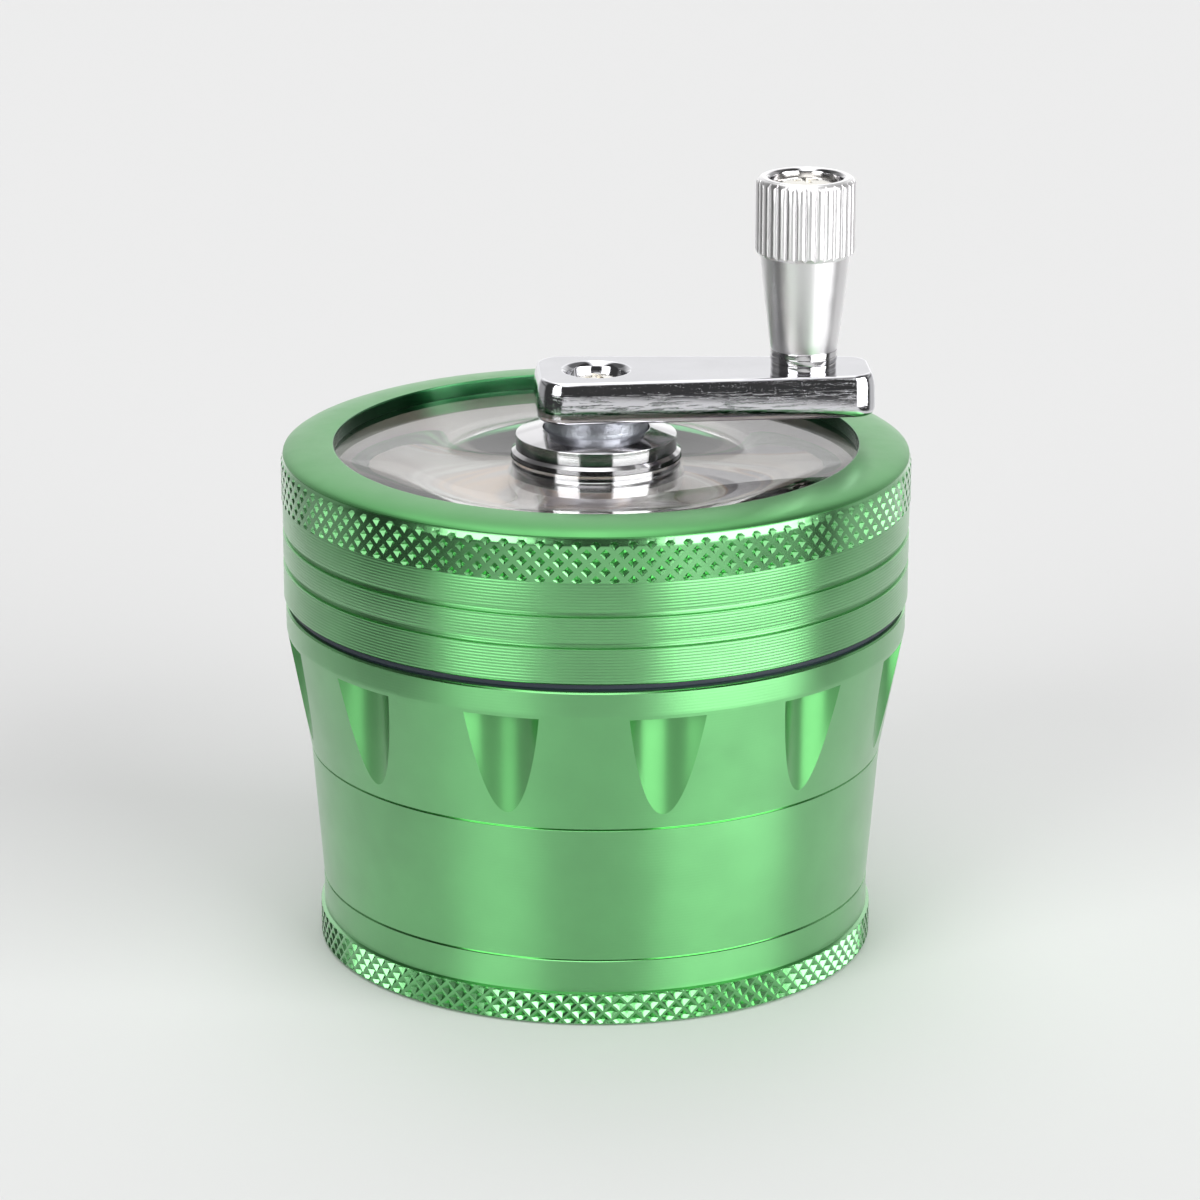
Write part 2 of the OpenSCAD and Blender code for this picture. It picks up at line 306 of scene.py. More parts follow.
@dataclass(frozen=True)
class WavyPlate(Finish):
    """Chromed plate with a rolled wave; its bright and plum streaks with warm edges are a painted reflection
    of the room.
    """

    bend_mm: float = 22.0  # size of the meanders
    bend_reach_mm: float = 34.0  # how far they move a streak, at most
    streak_mm: float = 8.0
    streak_stretch: tuple[float, float, float] = (0.28, 1.2, 1.0)
    lean_mm: tuple[float, float] = (2.0, 20.0)  # where along X the tones start and stop darkening
    lean_by: float = -0.09
    wave_mm: float = 11.0
    wave_stretch: tuple[float, float, float] = (0.4, 1.4, 1.0)

    def colour_socket(self, tree: Tree, place: Socket) -> Socket:
        """Painted reflection: streaks along X that meander, from white through pinkish grey to plum, darker
        towards +X.

        Args:
            tree: the material's node tree.
            place: object coordinates.

        Returns:
            The colour socket.
        """
        bend = add(tree, "ShaderNodeTexNoise", {
            "Vector": place,
            "Scale": 1 / (self.bend_mm * MM),
            "Detail": 1.0,
        })
        shift = add(tree, "ShaderNodeVectorMath", {
            0: bend.outputs["Color"],
            1: (0.0, self.bend_reach_mm * MM, 0.0),
        }, operation="MULTIPLY")
        moved = add(tree, "ShaderNodeVectorMath", {0: place, 1: shift.outputs["Vector"]}, operation="ADD")
        flat = add(tree, "ShaderNodeMapping", {
            "Vector": moved.outputs["Vector"],
            "Scale": self.streak_stretch,
        })
        painted_reflection = add(tree, "ShaderNodeTexNoise", {
            "Vector": flat.outputs["Vector"],
            "Scale": 1 / (self.streak_mm * MM),
            "Detail": 1.5,
            "Roughness": 0.4,
            "Distortion": 0.4,
        })
        spot = add(tree, "ShaderNodeSeparateXYZ", {"Vector": place})
        near, far = self.lean_mm
        lean = add(tree, "ShaderNodeMapRange", {
            "Value": spot.outputs["X"],
            "From Min": near * MM,
            "From Max": far * MM,
            "To Min": 0.0,
            "To Max": self.lean_by,
        }, interpolation_type="SMOOTHSTEP")
        level = add(tree, "ShaderNodeMath", {
            0: painted_reflection.outputs["Fac"],
            1: lean.outputs["Result"],
        }, operation="ADD")
        # the ramp paints the room's reflection into the plate's colour
        return ramp(tree, level.outputs["Value"], PLATE_REFLECTION_TONES)

    def relief_socket(self, tree: Tree, place: Socket) -> Socket:
        """A long shallow wave.

        Args:
            tree: the material's node tree.
            place: object coordinates.

        Returns:
            The normal socket.
        """
        flat = add(tree, "ShaderNodeMapping", {"Vector": place, "Scale": self.wave_stretch})
        wave = add(tree, "ShaderNodeTexNoise", {
            "Vector": flat.outputs["Vector"],
            "Scale": 1 / (self.wave_mm * MM),
            "Detail": 1.5,
            "Distortion": 0.7,
        })
        bump = add(tree, "ShaderNodeBump", {
            "Height": wave.outputs["Fac"],
            "Strength": 1.0,
            "Distance": self.grain_depth_mm * MM,
        })
        return bump.outputs["Normal"]


@dataclass(frozen=True)
class ScuffedChrome(Finish):
    """Chrome on a zinc casting: a mirror with a slow ripple and short scratches that run along the part."""

    ripple_mm: float = 1.8
    ripple_depth_mm: float = 0.005
    ripple_stretch: tuple[float, float, float] = (0.10, 1.0, 1.0)
    scratch_stretch: tuple[float, float, float] = (0.035, 0.5, 1.0)
    top_share: float = 0.1  # of the scratches' depth that is left on a face that looks up

    def relief_socket(self, tree: Tree, place: Socket) -> Socket:
        """Slow casting ripple with fine scratches over it, which the upper face has few of.

        Args:
            tree: the material's node tree.
            place: object coordinates.

        Returns:
            The normal socket.
        """
        long = add(tree, "ShaderNodeMapping", {"Vector": place, "Scale": self.ripple_stretch})
        ripple = add(tree, "ShaderNodeTexNoise", {
            "Vector": long.outputs["Vector"],
            "Scale": 1 / (self.ripple_mm * MM),
            "Detail": 2.0,
        })
        slow = add(tree, "ShaderNodeBump", {
            "Height": ripple.outputs["Fac"],
            "Strength": 1.0,
            "Distance": self.ripple_depth_mm * MM,
        })
        fine = add(tree, "ShaderNodeMapping", {"Vector": place, "Scale": self.scratch_stretch})
        scratch = add(tree, "ShaderNodeTexNoise", {
            "Vector": fine.outputs["Vector"],
            "Scale": 1 / (self.grain_mm * MM),
            "Detail": 4.0,
            "Roughness": 0.75,
        })
        cut = add(tree, "ShaderNodeMapRange", {
            "Value": scratch.outputs["Fac"],
            "From Min": 0.52,
            "From Max": 0.72,
        })
        normal = add(tree, "ShaderNodeTexCoord").outputs["Normal"]
        facing = add(tree, "ShaderNodeSeparateXYZ", {"Vector": normal})
        rubbed = add(tree, "ShaderNodeMapRange", {
            "Value": facing.outputs["Z"],
            "From Min": 0.3,
            "From Max": 0.8,
            "To Min": 1.0,
            "To Max": self.top_share,
        })
        depth = add(tree, "ShaderNodeMath", {
            0: cut.outputs["Result"],
            1: rubbed.outputs["Result"],
        }, operation="MULTIPLY")
        bump = add(tree, "ShaderNodeBump", {
            "Height": depth.outputs["Value"],
            "Strength": 1.0,
            "Normal": slow.outputs["Normal"],
            "Distance": self.grain_depth_mm * MM,
        })
        return bump.outputs["Normal"]


# Aluminium, turned on a lathe, then anodised and dyed: the tool's lines draw each light out into an upright
# streak, and the clear oxide skin lays a softer gloss over the green metal.  A finishing cut leaves lines
# about 0.1 mm apart, too fine to show, so they are drawn 0.30 mm apart.
TURNED_GREEN = Finish("anodised_aluminium_turned", "#6bbb72", metallic=1.0, roughness=0.38, coat=1.0,
                      coat_roughness=0.34, anisotropy=0.8, lines_mm=0.30, line_depth_mm=0.026,
                      grain_mm=0.2, grain_depth_mm=0.004)
# Anodised aluminium, turned with a finer feed: the lines hardly show one by one and leave a soft grain.
FINE_GREEN = replace(TURNED_GREEN, name="anodised_aluminium_fine_turned", line_depth_mm=0.004, grain_mm=0.16,
                     grain_depth_mm=0.005)
# Anodised aluminium, bead blasted before the dye: an even sheen without lines, darker than the turned faces.
BLASTED_GREEN = Finish("anodised_aluminium_blasted", "#549f5a", metallic=1.0, roughness=0.33, coat=0.2,
                       coat_roughness=0.30, grain_mm=0.16, grain_depth_mm=0.004)
# Anodised aluminium, pressed by a knurling wheel: burnished facets that flash one after the other.
KNURLED_GREEN = Finish("anodised_aluminium_knurled", "#6bbb72", metallic=1.0, roughness=0.22, coat=1.0,
                       coat_roughness=0.20, grain_depth_mm=0.003)
# Anodised aluminium, milled with a round cutter: smooth hollows, each with one upright band of light.
MILLED_GREEN = Finish("anodised_aluminium_milled", "#62b067", metallic=1.0, roughness=0.40, coat=0.5,
                      coat_roughness=0.2, anisotropy=0.72, grain_depth_mm=0.002)
# Anodised aluminium, bored: the steep inner wall of the lip, its green darkened as painted shade for a wall
# that gets little light.
BORED_GREEN_PAINTED_SHADE = Finish("anodised_aluminium_bored_painted_shade", "#2a6e3f", metallic=1.0, roughness=0.22, coat=0.3,
                     coat_roughness=0.1, grain_depth_mm=0.002)
# Anodised aluminium, broken at the edge by a sharp tool: a bright thread of light along each joint.
EDGE_GREEN = Finish("anodised_aluminium_edge", "#74c478", metallic=1.0, roughness=0.16, coat=0.5,
                    coat_roughness=0.08, grain_depth_mm=0.001)
# Bare aluminium, turned bright: crisp light and dark bands, drawn out by the tool.  Its real lines are too
# fine to show, and are drawn 0.22 mm apart.
BRIGHT_ALUMINIUM = Finish("aluminium_turned_bright", "#dcdbdd", metallic=1.0, roughness=0.13, anisotropy=0.75,
                          lines_mm=0.22, line_depth_mm=0.0008, grain_depth_mm=0.001, mottle=0.03)
# Bare aluminium, turned and tumbled: a pale satin glow with soft bands.
SATIN_ALUMINIUM = Finish("aluminium_turned_satin", "#f8f7f8", metallic=1.0, roughness=0.36, anisotropy=0.6,
                         grain_mm=0.2, grain_depth_mm=0.0008, mottle=0.03)
# Chromed zinc, die cast, polished and plated: a near mirror whose sides are broken up by fine scratches.
CHROMED_ZINC = ScuffedChrome("zinc_cast_chromed", "#dfdfe3", metallic=1.0, roughness=0.06, grain_mm=0.22,
                             grain_depth_mm=0.0035)
# Zinc as it leaves the die: bluish grey, dull and pebbled.
CAST_ZINC = Finish("zinc_as_cast", "#b4b7bf", metallic=1.0, roughness=0.42, grain_mm=0.35,
                   grain_depth_mm=0.05, mottle=0.2)
# Steel, cold headed and nickel plated: a warm, slightly uneven mirror.
NICKEL_STEEL = Finish("steel_nickel_plated", "#e6e3dc", metallic=1.0, roughness=0.20, grain_mm=0.5,
                      grain_depth_mm=0.02)
# Stainless steel, ground: grey, with fine lines that dull it.  They are drawn 0.15 mm apart, coarser than the
# real grit leaves them, so that they show close up.
GROUND_STEEL = Finish("stainless_steel_ground", "#bdbcb8", metallic=1.0, roughness=0.3, lines_mm=0.15,
                      line_depth_mm=0.003, grain_depth_mm=0.003)
# Chrome on a rolled steel plate: pale, with long streaks of white, pinkish grey and plum under the window,
# which are a painted reflection of the room.
# It is mostly pigment, since a mirror would show the studio instead of the streaks.
PLATE_CHROME = WavyPlate("steel_plate_chromed_painted_reflection", "#d0c6c4", metallic=0.2, roughness=0.4, coat=0.1,
                         coat_roughness=0.05, grain_depth_mm=0.08)
# Nylon, moulded and dyed slate: dull and slightly waxy, a dark line between two bright metals.
SLATE_NYLON = Finish("nylon_moulded_slate", "#1b2632", roughness=0.5, grain_mm=0.2, grain_depth_mm=0.03)
# Nylon, stamped from undyed sheet: cream and waxy.
NATURAL_NYLON = Finish("nylon_sheet_natural", "#e2dccb", roughness=0.45, grain_mm=0.3, grain_depth_mm=0.01)
# Acrylic, cast, with a polished rim: clear, with sharp highlights and a faint waviness 12 mm long.
CLEAR_ACRYLIC = Finish("acrylic_cast_clear", "#fbfcfb", roughness=0.004, transmission=1.0, ior=1.49,
                       grain_mm=12.0, grain_depth_mm=0.01, mottle=0.01)


class Slot(Enum):
    """Names of the record's material slots, passed with each turned, cast and moulded piece."""

    GREEN = "anodised_green"
    CLOTH = "screen_cloth"
    NICKEL = "nickel"
    SLATE = "nylon_slate"
    ACRYLIC = "acrylic"
    BRIGHT = "polished_aluminium"
    SATIN = "turned_aluminium"
    PLATE = "polished_plate"
    CHROME = "chromed_zinc"


# ---------------------------------------------------------------- mesh work


@dataclass(frozen=True)
class Extent:
    """Where a CAD node lies, in millimetres."""

    low: Vector
    high: Vector

    @property
    def radius(self) -> float:
        """Outer radius of a node of revolution."""
        return (self.high.x - self.low.x) / 2

    @property
    def middle(self) -> Vector:
        """Centre of the node's box."""
        return (self.low + self.high) / 2


def extent(node: str) -> Extent:
    """Looks up a CAD node's place.

    Args:
        node: the node's name.

    Returns:
        Its extent in millimetres.
    """
    low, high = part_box(node)
    return Extent(low / MM, high / MM)


class Relief(Protocol):
    """A pattern cut into a turned surface."""

    def radius(self, angle: float, station: "Station") -> float:
        """Radius of the cut surface.

        Args:
            angle: in radians.
            station: where on the outline.

        Returns:
            The radius.
        """


@dataclass(frozen=True)
class Station:
    """A point of a lathe outline; the strip that follows it takes its finish and its relief."""

    r: float
    z: float
    finish: int = 0
    round: float = 0.0
    cut: Optional[Relief] = None


def broken(r: float, z: float, size: float, up: bool, finish: int) -> list[Station]:
    """Breaks an outer edge with a flat bevel.

    Args:
        r: radius of the wall.
        z: height of the end face.
        size: length of each leg.
        up: whether the wall lies below the edge, so that the outline runs up to it.
        finish: material number of the bevel.

    Returns:
        The two stations, in the order of an outline that climbs the outside.
    """
    if up:
        return [Station(r, z - size, finish), Station(r - size, z)]
    return [Station(r - size, z, finish), Station(r, z + size)]


def rounded(outline: Sequence[Station], steps: int = 3) -> list[Station]:
    """Rounds the corners of a closed outline that ask for it.

    Args:
        outline: the stations in order.
        steps: chords in each rounding.

    Returns:
        The outline with curves at its corners.
    """
    out: list[Station] = []
    for i, corner in enumerate(outline):
        if not corner.round:
            out.append(corner)
            continue
        here = Vector((corner.r, corner.z))
        before, after = outline[i - 1], outline[(i + 1) % len(outline)]
        back = Vector((before.r, before.z)) - here
        ahead = Vector((after.r, after.z)) - here
        start = here + back.normalized() * min(corner.round, back.length * CORNER_SHARE)
        end = here + ahead.normalized() * min(corner.round, ahead.length * CORNER_SHARE)
        for k in range(steps + 1):
            t = k / steps
            spot = start * (1 - t) ** 2 + here * 2 * t * (1 - t) + end * t * t
            out.append(replace(corner, r=spot.x, z=spot.y, round=0.0))
    return out


def finish_mesh(name: str, shape: Shape, finishes: Sequence[Finish], sharp: float = CREASE) -> Piece:
    """Turns a shape in millimetres into an object in metres.

    Args:
        name: the piece's name.
        shape: the shape; it is freed.
        finishes: one per material number.
        sharp: angle in degrees above which an edge stays crisp.

    Returns:
        The new object.
    """
    bmesh.ops.remove_doubles(shape, verts=shape.verts, dist=MERGE)
    bmesh.ops.dissolve_degenerate(shape, edges=shape.edges, dist=SLIVER)
    bmesh.ops.recalc_face_normals(shape, faces=shape.faces)
    bmesh.ops.scale(shape, vec=(MM, MM, MM), verts=shape.verts)
    mesh = bpy.data.meshes.new(name)
    shape.to_mesh(mesh)
    shape.free()
    mesh.polygons.foreach_set("use_smooth", [True] * len(mesh.polygons))
    mesh.set_sharp_from_angle(angle=math.radians(sharp))
    piece = bpy.data.objects.new(name, mesh)
    bpy.context.scene.collection.objects.link(piece)
    for finish in finishes:
        mesh.materials.append(finish.material())
    return piece


Columns = Optional[Callable[[Station], list[float]]]


def spin(shape: Shape, outline: Sequence[Station], columns: int, centre: Vector = ORIGIN,
         angles: Columns = None) -> None:
    """Revolves a closed outline into a shape, cutting each station's relief.

    Args:
        shape: the shape that the surface is added to.
        outline: the stations in order; a station at radius 0 is a pole.
        columns: how many columns the surface has.
        centre: a point on the axis.
        angles: gives a station's column angles, for columns that follow an edge.
    """
    rings = []
    for station in outline:
        if station.r < AXIS:
            rings.append([shape.verts.new((centre.x, centre.y, station.z))])
            continue
        turns = angles(station) if angles else [math.tau * i / columns for i in range(columns)]
        ring = []
        for angle in turns:
            r = station.cut.radius(angle, station) if station.cut else station.r
            x = centre.x + r * math.cos(angle)
            y = centre.y + r * math.sin(angle)
            ring.append(shape.verts.new((x, y, station.z)))
        rings.append(ring)
    for k, station in enumerate(outline):
        low, high = rings[k], rings[(k + 1) % len(rings)]
        if len(low) == 1 and len(high) == 1:
            continue
        for i in range(columns):
            j = (i + 1) % columns
            if len(low) == 1:
                corners = [[low[0], high[i], high[j]]]
            elif len(high) == 1:
                corners = [[low[i], low[j], high[0]]]
            elif station.cut:
                corners = split_level(low[i], low[j], high[j], high[i], centre)
            else:
                corners = [[low[i], low[j], high[j], high[i]]]
            for corner in corners:
                face = shape.faces.new(corner)
                face.material_index = station.finish


def split_level(a: Vert, b: Vert, c: Vert, d: Vert, centre: Vector) -> list[list[Vert]]:
    """Splits a quad of a cut surface along the diagonal that stays at one depth, so facets keep true edges.

    Args:
        a: first corner.
        b: second corner.
        c: third corner.
        d: fourth corner.
        centre: a point on the axis.

    Returns:
        Two triangles.
    """
    depth = [math.hypot(v.co.x - centre.x, v.co.y - centre.y) for v in (a, b, c, d)]
    if abs(depth[0] - depth[2]) <= abs(depth[1] - depth[3]):
        return [[a, b, c], [a, c, d]]
    return [[a, b, d], [b, c, d]]


def turned(name: str, outline: Sequence[Station], finishes: Sequence[Finish], columns: int = 192,
           centre: Vector = ORIGIN, angles: Columns = None) -> Piece:
    """Makes one piece of revolution.

    Args:
        name: the piece's name.
        outline: the closed outline.
        finishes: one per material number in the outline.
        columns: columns round the axis.
        centre: a point on the axis.
        angles: see spin.

    Returns:
        The piece.
    """
    shape = bmesh.new()
    spin(shape, rounded(outline), columns, centre, angles)
    return finish_mesh(name, shape, finishes)


def loop(shape: Shape, points: Iterable[Sequence[float]], z: float) -> list[Vert]:
    """Adds a closed loop of vertices at one height, with its edges.

    Args:
        shape: the shape.
        points: x and y of each point.
        z: the height.

    Returns:
        The vertices.
    """
    verts = [shape.verts.new((p[0], p[1], z)) for p in points]
    for i, vert in enumerate(verts):
        shape.edges.new((vert, verts[(i + 1) % len(verts)]))
    return verts


def bridge(shape: Shape, low: Sequence[Vert], high: Sequence[Vert], finish: int = 0) -> None:
    """Joins two loops of equal count by a strip of quads.

    Args:
        shape: the shape.
        low: first loop.
        high: second loop.
        finish: material number.
    """
    for i in range(len(low)):
        j = (i + 1) % len(low)
        shape.faces.new([low[i], low[j], high[j], high[i]]).material_index = finish


def cap(shape: Shape, loops: Sequence[Sequence[Vert]], finish: int = 0) -> None:
    """Fills the flat area between an outer loop and the loops inside it.

    Args:
        shape: the shape.
        loops: the outer loop and any holes.
        finish: material number.
    """
    edges = []
    for ring in loops:
        for i, vert in enumerate(ring):
            edges.append(shape.edges.get((vert, ring[(i + 1) % len(ring)])))
    filled = bmesh.ops.triangle_fill(shape, use_beauty=True, use_dissolve=False, edges=edges)
    for item in filled["geom"]:
        if isinstance(item, bmesh.types.BMFace):
            item.material_index = finish


def circle(x: float, y: float, r: float, count: int = 64) -> list[tuple[float, float]]:
    """Points of a circle.

    Args:
        x: centre.
        y: centre.
        r: radius.
        count: number of points.

    Returns:
        The points.
    """
    turns = [math.tau * i / count for i in range(count)]
    return [(x + r * math.cos(angle), y + r * math.sin(angle)) for angle in turns]


def carve(piece: Piece, cutter: Piece) -> None:
    """Cuts one mesh out of another and removes the cutter.

    Args:
        piece: the piece that is cut.
        cutter: the tool.
    """
    tool = piece.modifiers.new("carve", "BOOLEAN")
    tool.operation = "DIFFERENCE"
    tool.solver = "EXACT"
    tool.object = cutter
    apply(piece)
    bpy.data.objects.remove(cutter)


def apply(piece: Piece) -> None:
    """Applies every modifier of a piece.

    Args:
        piece: the piece.
    """
    done = piece.evaluated_get(bpy.context.evaluated_depsgraph_get())
    mesh = bpy.data.meshes.new_from_object(done)
    piece.modifiers.clear()
    piece.data = mesh
    mesh.set_sharp_from_angle(angle=math.radians(CREASE))


def even_normals(piece: Piece) -> None:
    """Keeps wide flat faces flat beside small roundings.

    Args:
        piece: the piece.
    """
    piece.modifiers.new("even_normals", "WEIGHTED_NORMAL").keep_sharp = True


def settle(piece: Piece, body: str, slot: Slot, *nodes: str) -> None:
    """Says what a piece rides on and stands for.

    Args:
        piece: the piece.
        body: the CAD body.
        slot: the record's slot; not used.
        nodes: CAD nodes that it replaces.
    """
    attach(piece, body)
    if nodes:
        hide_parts(*nodes)
    LOG.info("%s: %d faces, rides on %s", piece.name, len(piece.data.polygons), body)


def dress(node: str, finish: Finish) -> None:
    """Gives a CAD node that keeps its shape a better material.

    Args:
        node: the node's name.
        finish: its finish.
    """
    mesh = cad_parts[node].data
    mesh.materials.clear()
    mesh.materials.append(finish.material())
    LOG.info("%s: CAD shape, %s", node, finish.name)


# ---------------------------------------------------------------- reliefs


@dataclass(frozen=True)
class DiamondPits:
    """Knurl of four-sided pits in a lattice that keeps the turned surface."""

    count: int  # pits round the band
    pitch: float  # height of one diamond
    first: float  # height of the middle of a row
    reach: float  # half width of a pit, as a share of the lattice
    depth: float
    samples: int = 10  # rows of points to a pitch
    gap: float = 0.02  # least height between a row and the band's edge

    def radius(self, angle: float, station: Station) -> float:
        """Radius of the knurled surface.

        Args:
            angle: in radians.
            station: where on the outline.

        Returns:
            The radius.
        """
        across = angle * self.count / math.tau
        up = (station.z - self.first) / self.pitch
        u, v = across + up, across - up
        off = max(abs(u - round(u)), abs(v - round(v)))
        return station.r - self.depth * max(0.0, 1 - off / self.reach)

    def rows(self, r: float, low: float, high: float, finish: int) -> list[Station]:
        """Stations of the knurled band, a plain one at each end.

        Args:
            r: crest radius.
            low: height of the band's lower edge.
            high: height of its upper edge.
            finish: material number.

        Returns:
            The stations.
        """
        step = self.pitch / self.samples
        start = math.ceil((low - self.first) / step)
        stop = math.floor((high - self.first) / step)
        inside = [self.first + step * k for k in range(start, stop + 1)]
        heights = [low] + [z for z in inside if low + self.gap < z < high - self.gap] + [high]
        band = [Station(r, z, finish, cut=self) for z in heights]
        return [Station(r, low, finish)] + band + [Station(r, high, finish)]


@dataclass(frozen=True)
class ScrewThread:
    """Rounded single-start thread; both halves of a joint share it, so they stay in mesh."""

    low: float
    high: float
    pitch: float = 1.5
    depth: float = 0.45
    run_out: float = 0.5  # height over which the ridge fades out at each end
    steepness: float = 1.6  # above 1, the crest is flat
    rows_per_turn: int = 8

    def radius(self, angle: float, station: Station) -> float:
        """Radius of the threaded surface.

        Args:
            angle: in radians.
            station: where on the outline.

        Returns:
            The radius.
        """
        phase = station.z / self.pitch - angle / math.tau
        wave = abs(2 * (phase - math.floor(phase + 0.5)))
        fade = min(1.0, (station.z - self.low) / self.run_out, (self.high - station.z) / self.run_out)
        return station.r - self.depth * (1 - max(0.0, fade) * min(1.0, self.steepness * wave))

    def rows(self, r: float, finish: int = 0) -> list[Station]:
        """Stations of the thread from its low end to its high end.

        Args:
            r: crest radius.
            finish: material number.

        Returns:
            The stations.
        """
        count = round((self.high - self.low) / self.pitch * self.rows_per_turn)
        heights = [self.low + (self.high - self.low) * k / count for k in range(count + 1)]
        return [Station(r, z, finish, cut=self) for z in heights]


@dataclass(frozen=True)
class GripFlutes:
    """Rounded ridges with sharp valleys between them, as on a straight-knurled grip."""

    count: int
    crest: float
    depth: float
    turn: float = 0.0

    def radius(self, angle: float, station: Station) -> float:
        """Radius of the fluted surface.

        Args:
            angle: in radians.
            station: where on the outline.

        Returns:
            The radius.
        """
        place = (angle - self.turn) * self.count / math.tau
        from_valley = 1 - 2 * abs(place - round(place))
        ridge = self.crest - self.depth * (1 - math.sqrt(max(0.0, 1 - from_valley**2)))
        return min(station.r, ridge)


@dataclass(frozen=True)
class SideFlutes:
    """Upright round hollows milled into a cone; the mesh's columns follow their edges."""

    count: int
    cutter: float  # radius of the milling cutter
    at: float  # radius of the circle on which the cutter's axis stands
    turn: float  # angle of the first hollow, in radians
    top_r: float  # radius of the cone at the hollows' upper end
    waist: float  # height below which the columns close up
    inner: int = 12  # columns across a hollow
    outer: int = 8  # half the columns between two hollows
    slit: float = 0.004  # least half angle of a hollow, in radians

    @property
    def columns(self) -> int:
        """How many columns a surface with these hollows has."""
        return self.count * (self.inner + 2 * self.outer)

    @property
    def deepest(self) -> float:
        """Radius at the bottom of the hollows."""
        return self.at - self.cutter

    def place(self, angle: float) -> float:
        """Angle from the middle of the nearest hollow, in radians."""
        sector = math.tau / self.count
        return (angle - self.turn + sector / 2) % sector - sector / 2

    def edge(self, r: float) -> float:
        """Half angle of a hollow where the cone has this radius, in radians.

        Args:
            r: radius of the cone.

        Returns:
            The half angle, never quite 0.
        """
        ratio = (self.at**2 + r**2 - self.cutter**2) / (2 * self.at * r)
        return max(self.slit, math.acos(min(1.0, ratio)))

    def angles(self, station: Station) -> list[float]:
        """Angles of the columns at a station.

        Args:
            station: where on the outline.

        Returns:
            The angles.
        """
        r = self.top_r if station.z > self.waist else self.deepest
        half = self.edge(station.r if station.cut else r)
        sector = math.pi / self.count
        inside = [half * (2 * k / self.inner - 1) for k in range(self.inner)]
        outside = [half + (2 * sector - 2 * half) * k / (2 * self.outer) for k in range(2 * self.outer)]
        return [self.turn + 2 * sector * i + a for i in range(self.count) for a in inside + outside]

    def radius(self, angle: float, station: Station) -> float:
        """Radius of the milled surface.

        Args:
            angle: in radians.
            station: where on the outline.

        Returns:
            The radius.
        """
        place = self.place(angle)
        inside = self.cutter**2 - (self.at * math.sin(place)) ** 2
        if inside <= 0:
            return station.r
        return min(station.r, self.at * math.cos(place) - math.sqrt(inside))


# ---------------------------------------------------------------- the sections


TOOTH_RING_STEP = 7.8  # mm between one ring of standing teeth and the next
TOOTH_BEVEL = 0.5  # mm that a tooth's tip is bevelled over
TOOTH_TIP = 0.72  # of a tooth's section that is left at its tip
TOOTH_SECTION = ((-1.45, 0), (-0.2, -1.9), (0.2, -1.9), (1.45, 0), (0.2, 1.9), (-0.2, 1.9))


def diamond_ring(shape: Shape, r: float, count: int, root: float, tip: float, turn: float = 0.0) -> None:
    """Adds one ring of diamond teeth with bevelled tips.

    Args:
        shape: the shape.
        r: radius of the ring.
        count: number of teeth.
        root: height where they stand.
        tip: height of their tips; lower than the root for hanging teeth.
        turn: angle of the first, in degrees.
    """
    bevel = TOOTH_BEVEL if tip > root else -TOOTH_BEVEL
    for i in range(count):
        angle = math.radians(turn) + math.tau * i / count
        out = Vector((math.cos(angle), math.sin(angle)))
        side = Vector((-math.sin(angle), math.cos(angle)))
        rings = []
        for scale, z in ((1.0, root), (1.0, tip - bevel), (TOOTH_TIP, tip)):
            spots = [out * (r + a * scale) + side * b * scale for a, b in TOOTH_SECTION]
            rings.append(loop(shape, spots, z))
        bridge(shape, rings[0], rings[1])
        bridge(shape, rings[1], rings[2])
        cap(shape, [rings[0]])
        cap(shape, [rings[2]])


@dataclass
class PollenCup:
    """Lowest section: a shallow cup with a knurled foot."""

    box: Extent = field(default_factory=lambda: extent("pollen_cup"))
    band_low: float = 0.28
    band_top: float = 3.3
    wall: float = 0.35
    bore: float = 25.98
    thread_depth: float = 0.45
    well_r: float = 25.2
    well_floor: float = 1.4
    foot_hollow: float = 0.3
    foot_ring: tuple[float, float] = (3.2, 2.6)
    foot_edge: float = 0.30
    edge: float = 0.13
    columns: int = 1100
    thread: ScrewThread = field(default_factory=lambda: ScrewThread(low=3.4, high=6.3))

    def build(self) -> None:
        """Builds and dresses the cup."""
        wall, knurl, edge = range(3)
        crest = self.box.radius
        plain = crest - self.wall
        top = self.box.high.z
        inner, outer = self.foot_ring
        pits = DiamondPits(count=110, pitch=1.62, first=0.62, reach=0.4, depth=0.42)
        outline = [
            Station(0, self.foot_hollow),
            Station(crest - inner, self.foot_hollow, round=0.2),
            Station(crest - outer, 0, round=0.2),
            Station(crest - self.foot_edge, 0, knurl, round=0.15),
            *pits.rows(crest, self.band_low, self.band_top, knurl),
            Station(plain, self.band_top + 0.12),
            *broken(plain, top, self.edge, True, edge),
            Station(self.bore, top, round=0.2),
            *reversed(self.thread.rows(self.bore)),
            Station(self.bore - self.thread_depth, 3.3),
            Station(self.well_r, 3.2, round=0.1),
            Station(self.well_r, self.well_floor, round=1.5),
            Station(0, self.well_floor, wall),
        ]
        cup = turned("pollen_cup_turned", outline, [FINE_GREEN, KNURLED_GREEN, EDGE_GREEN], self.columns)
        settle(cup, "cup", Slot.GREEN, "pollen_cup")


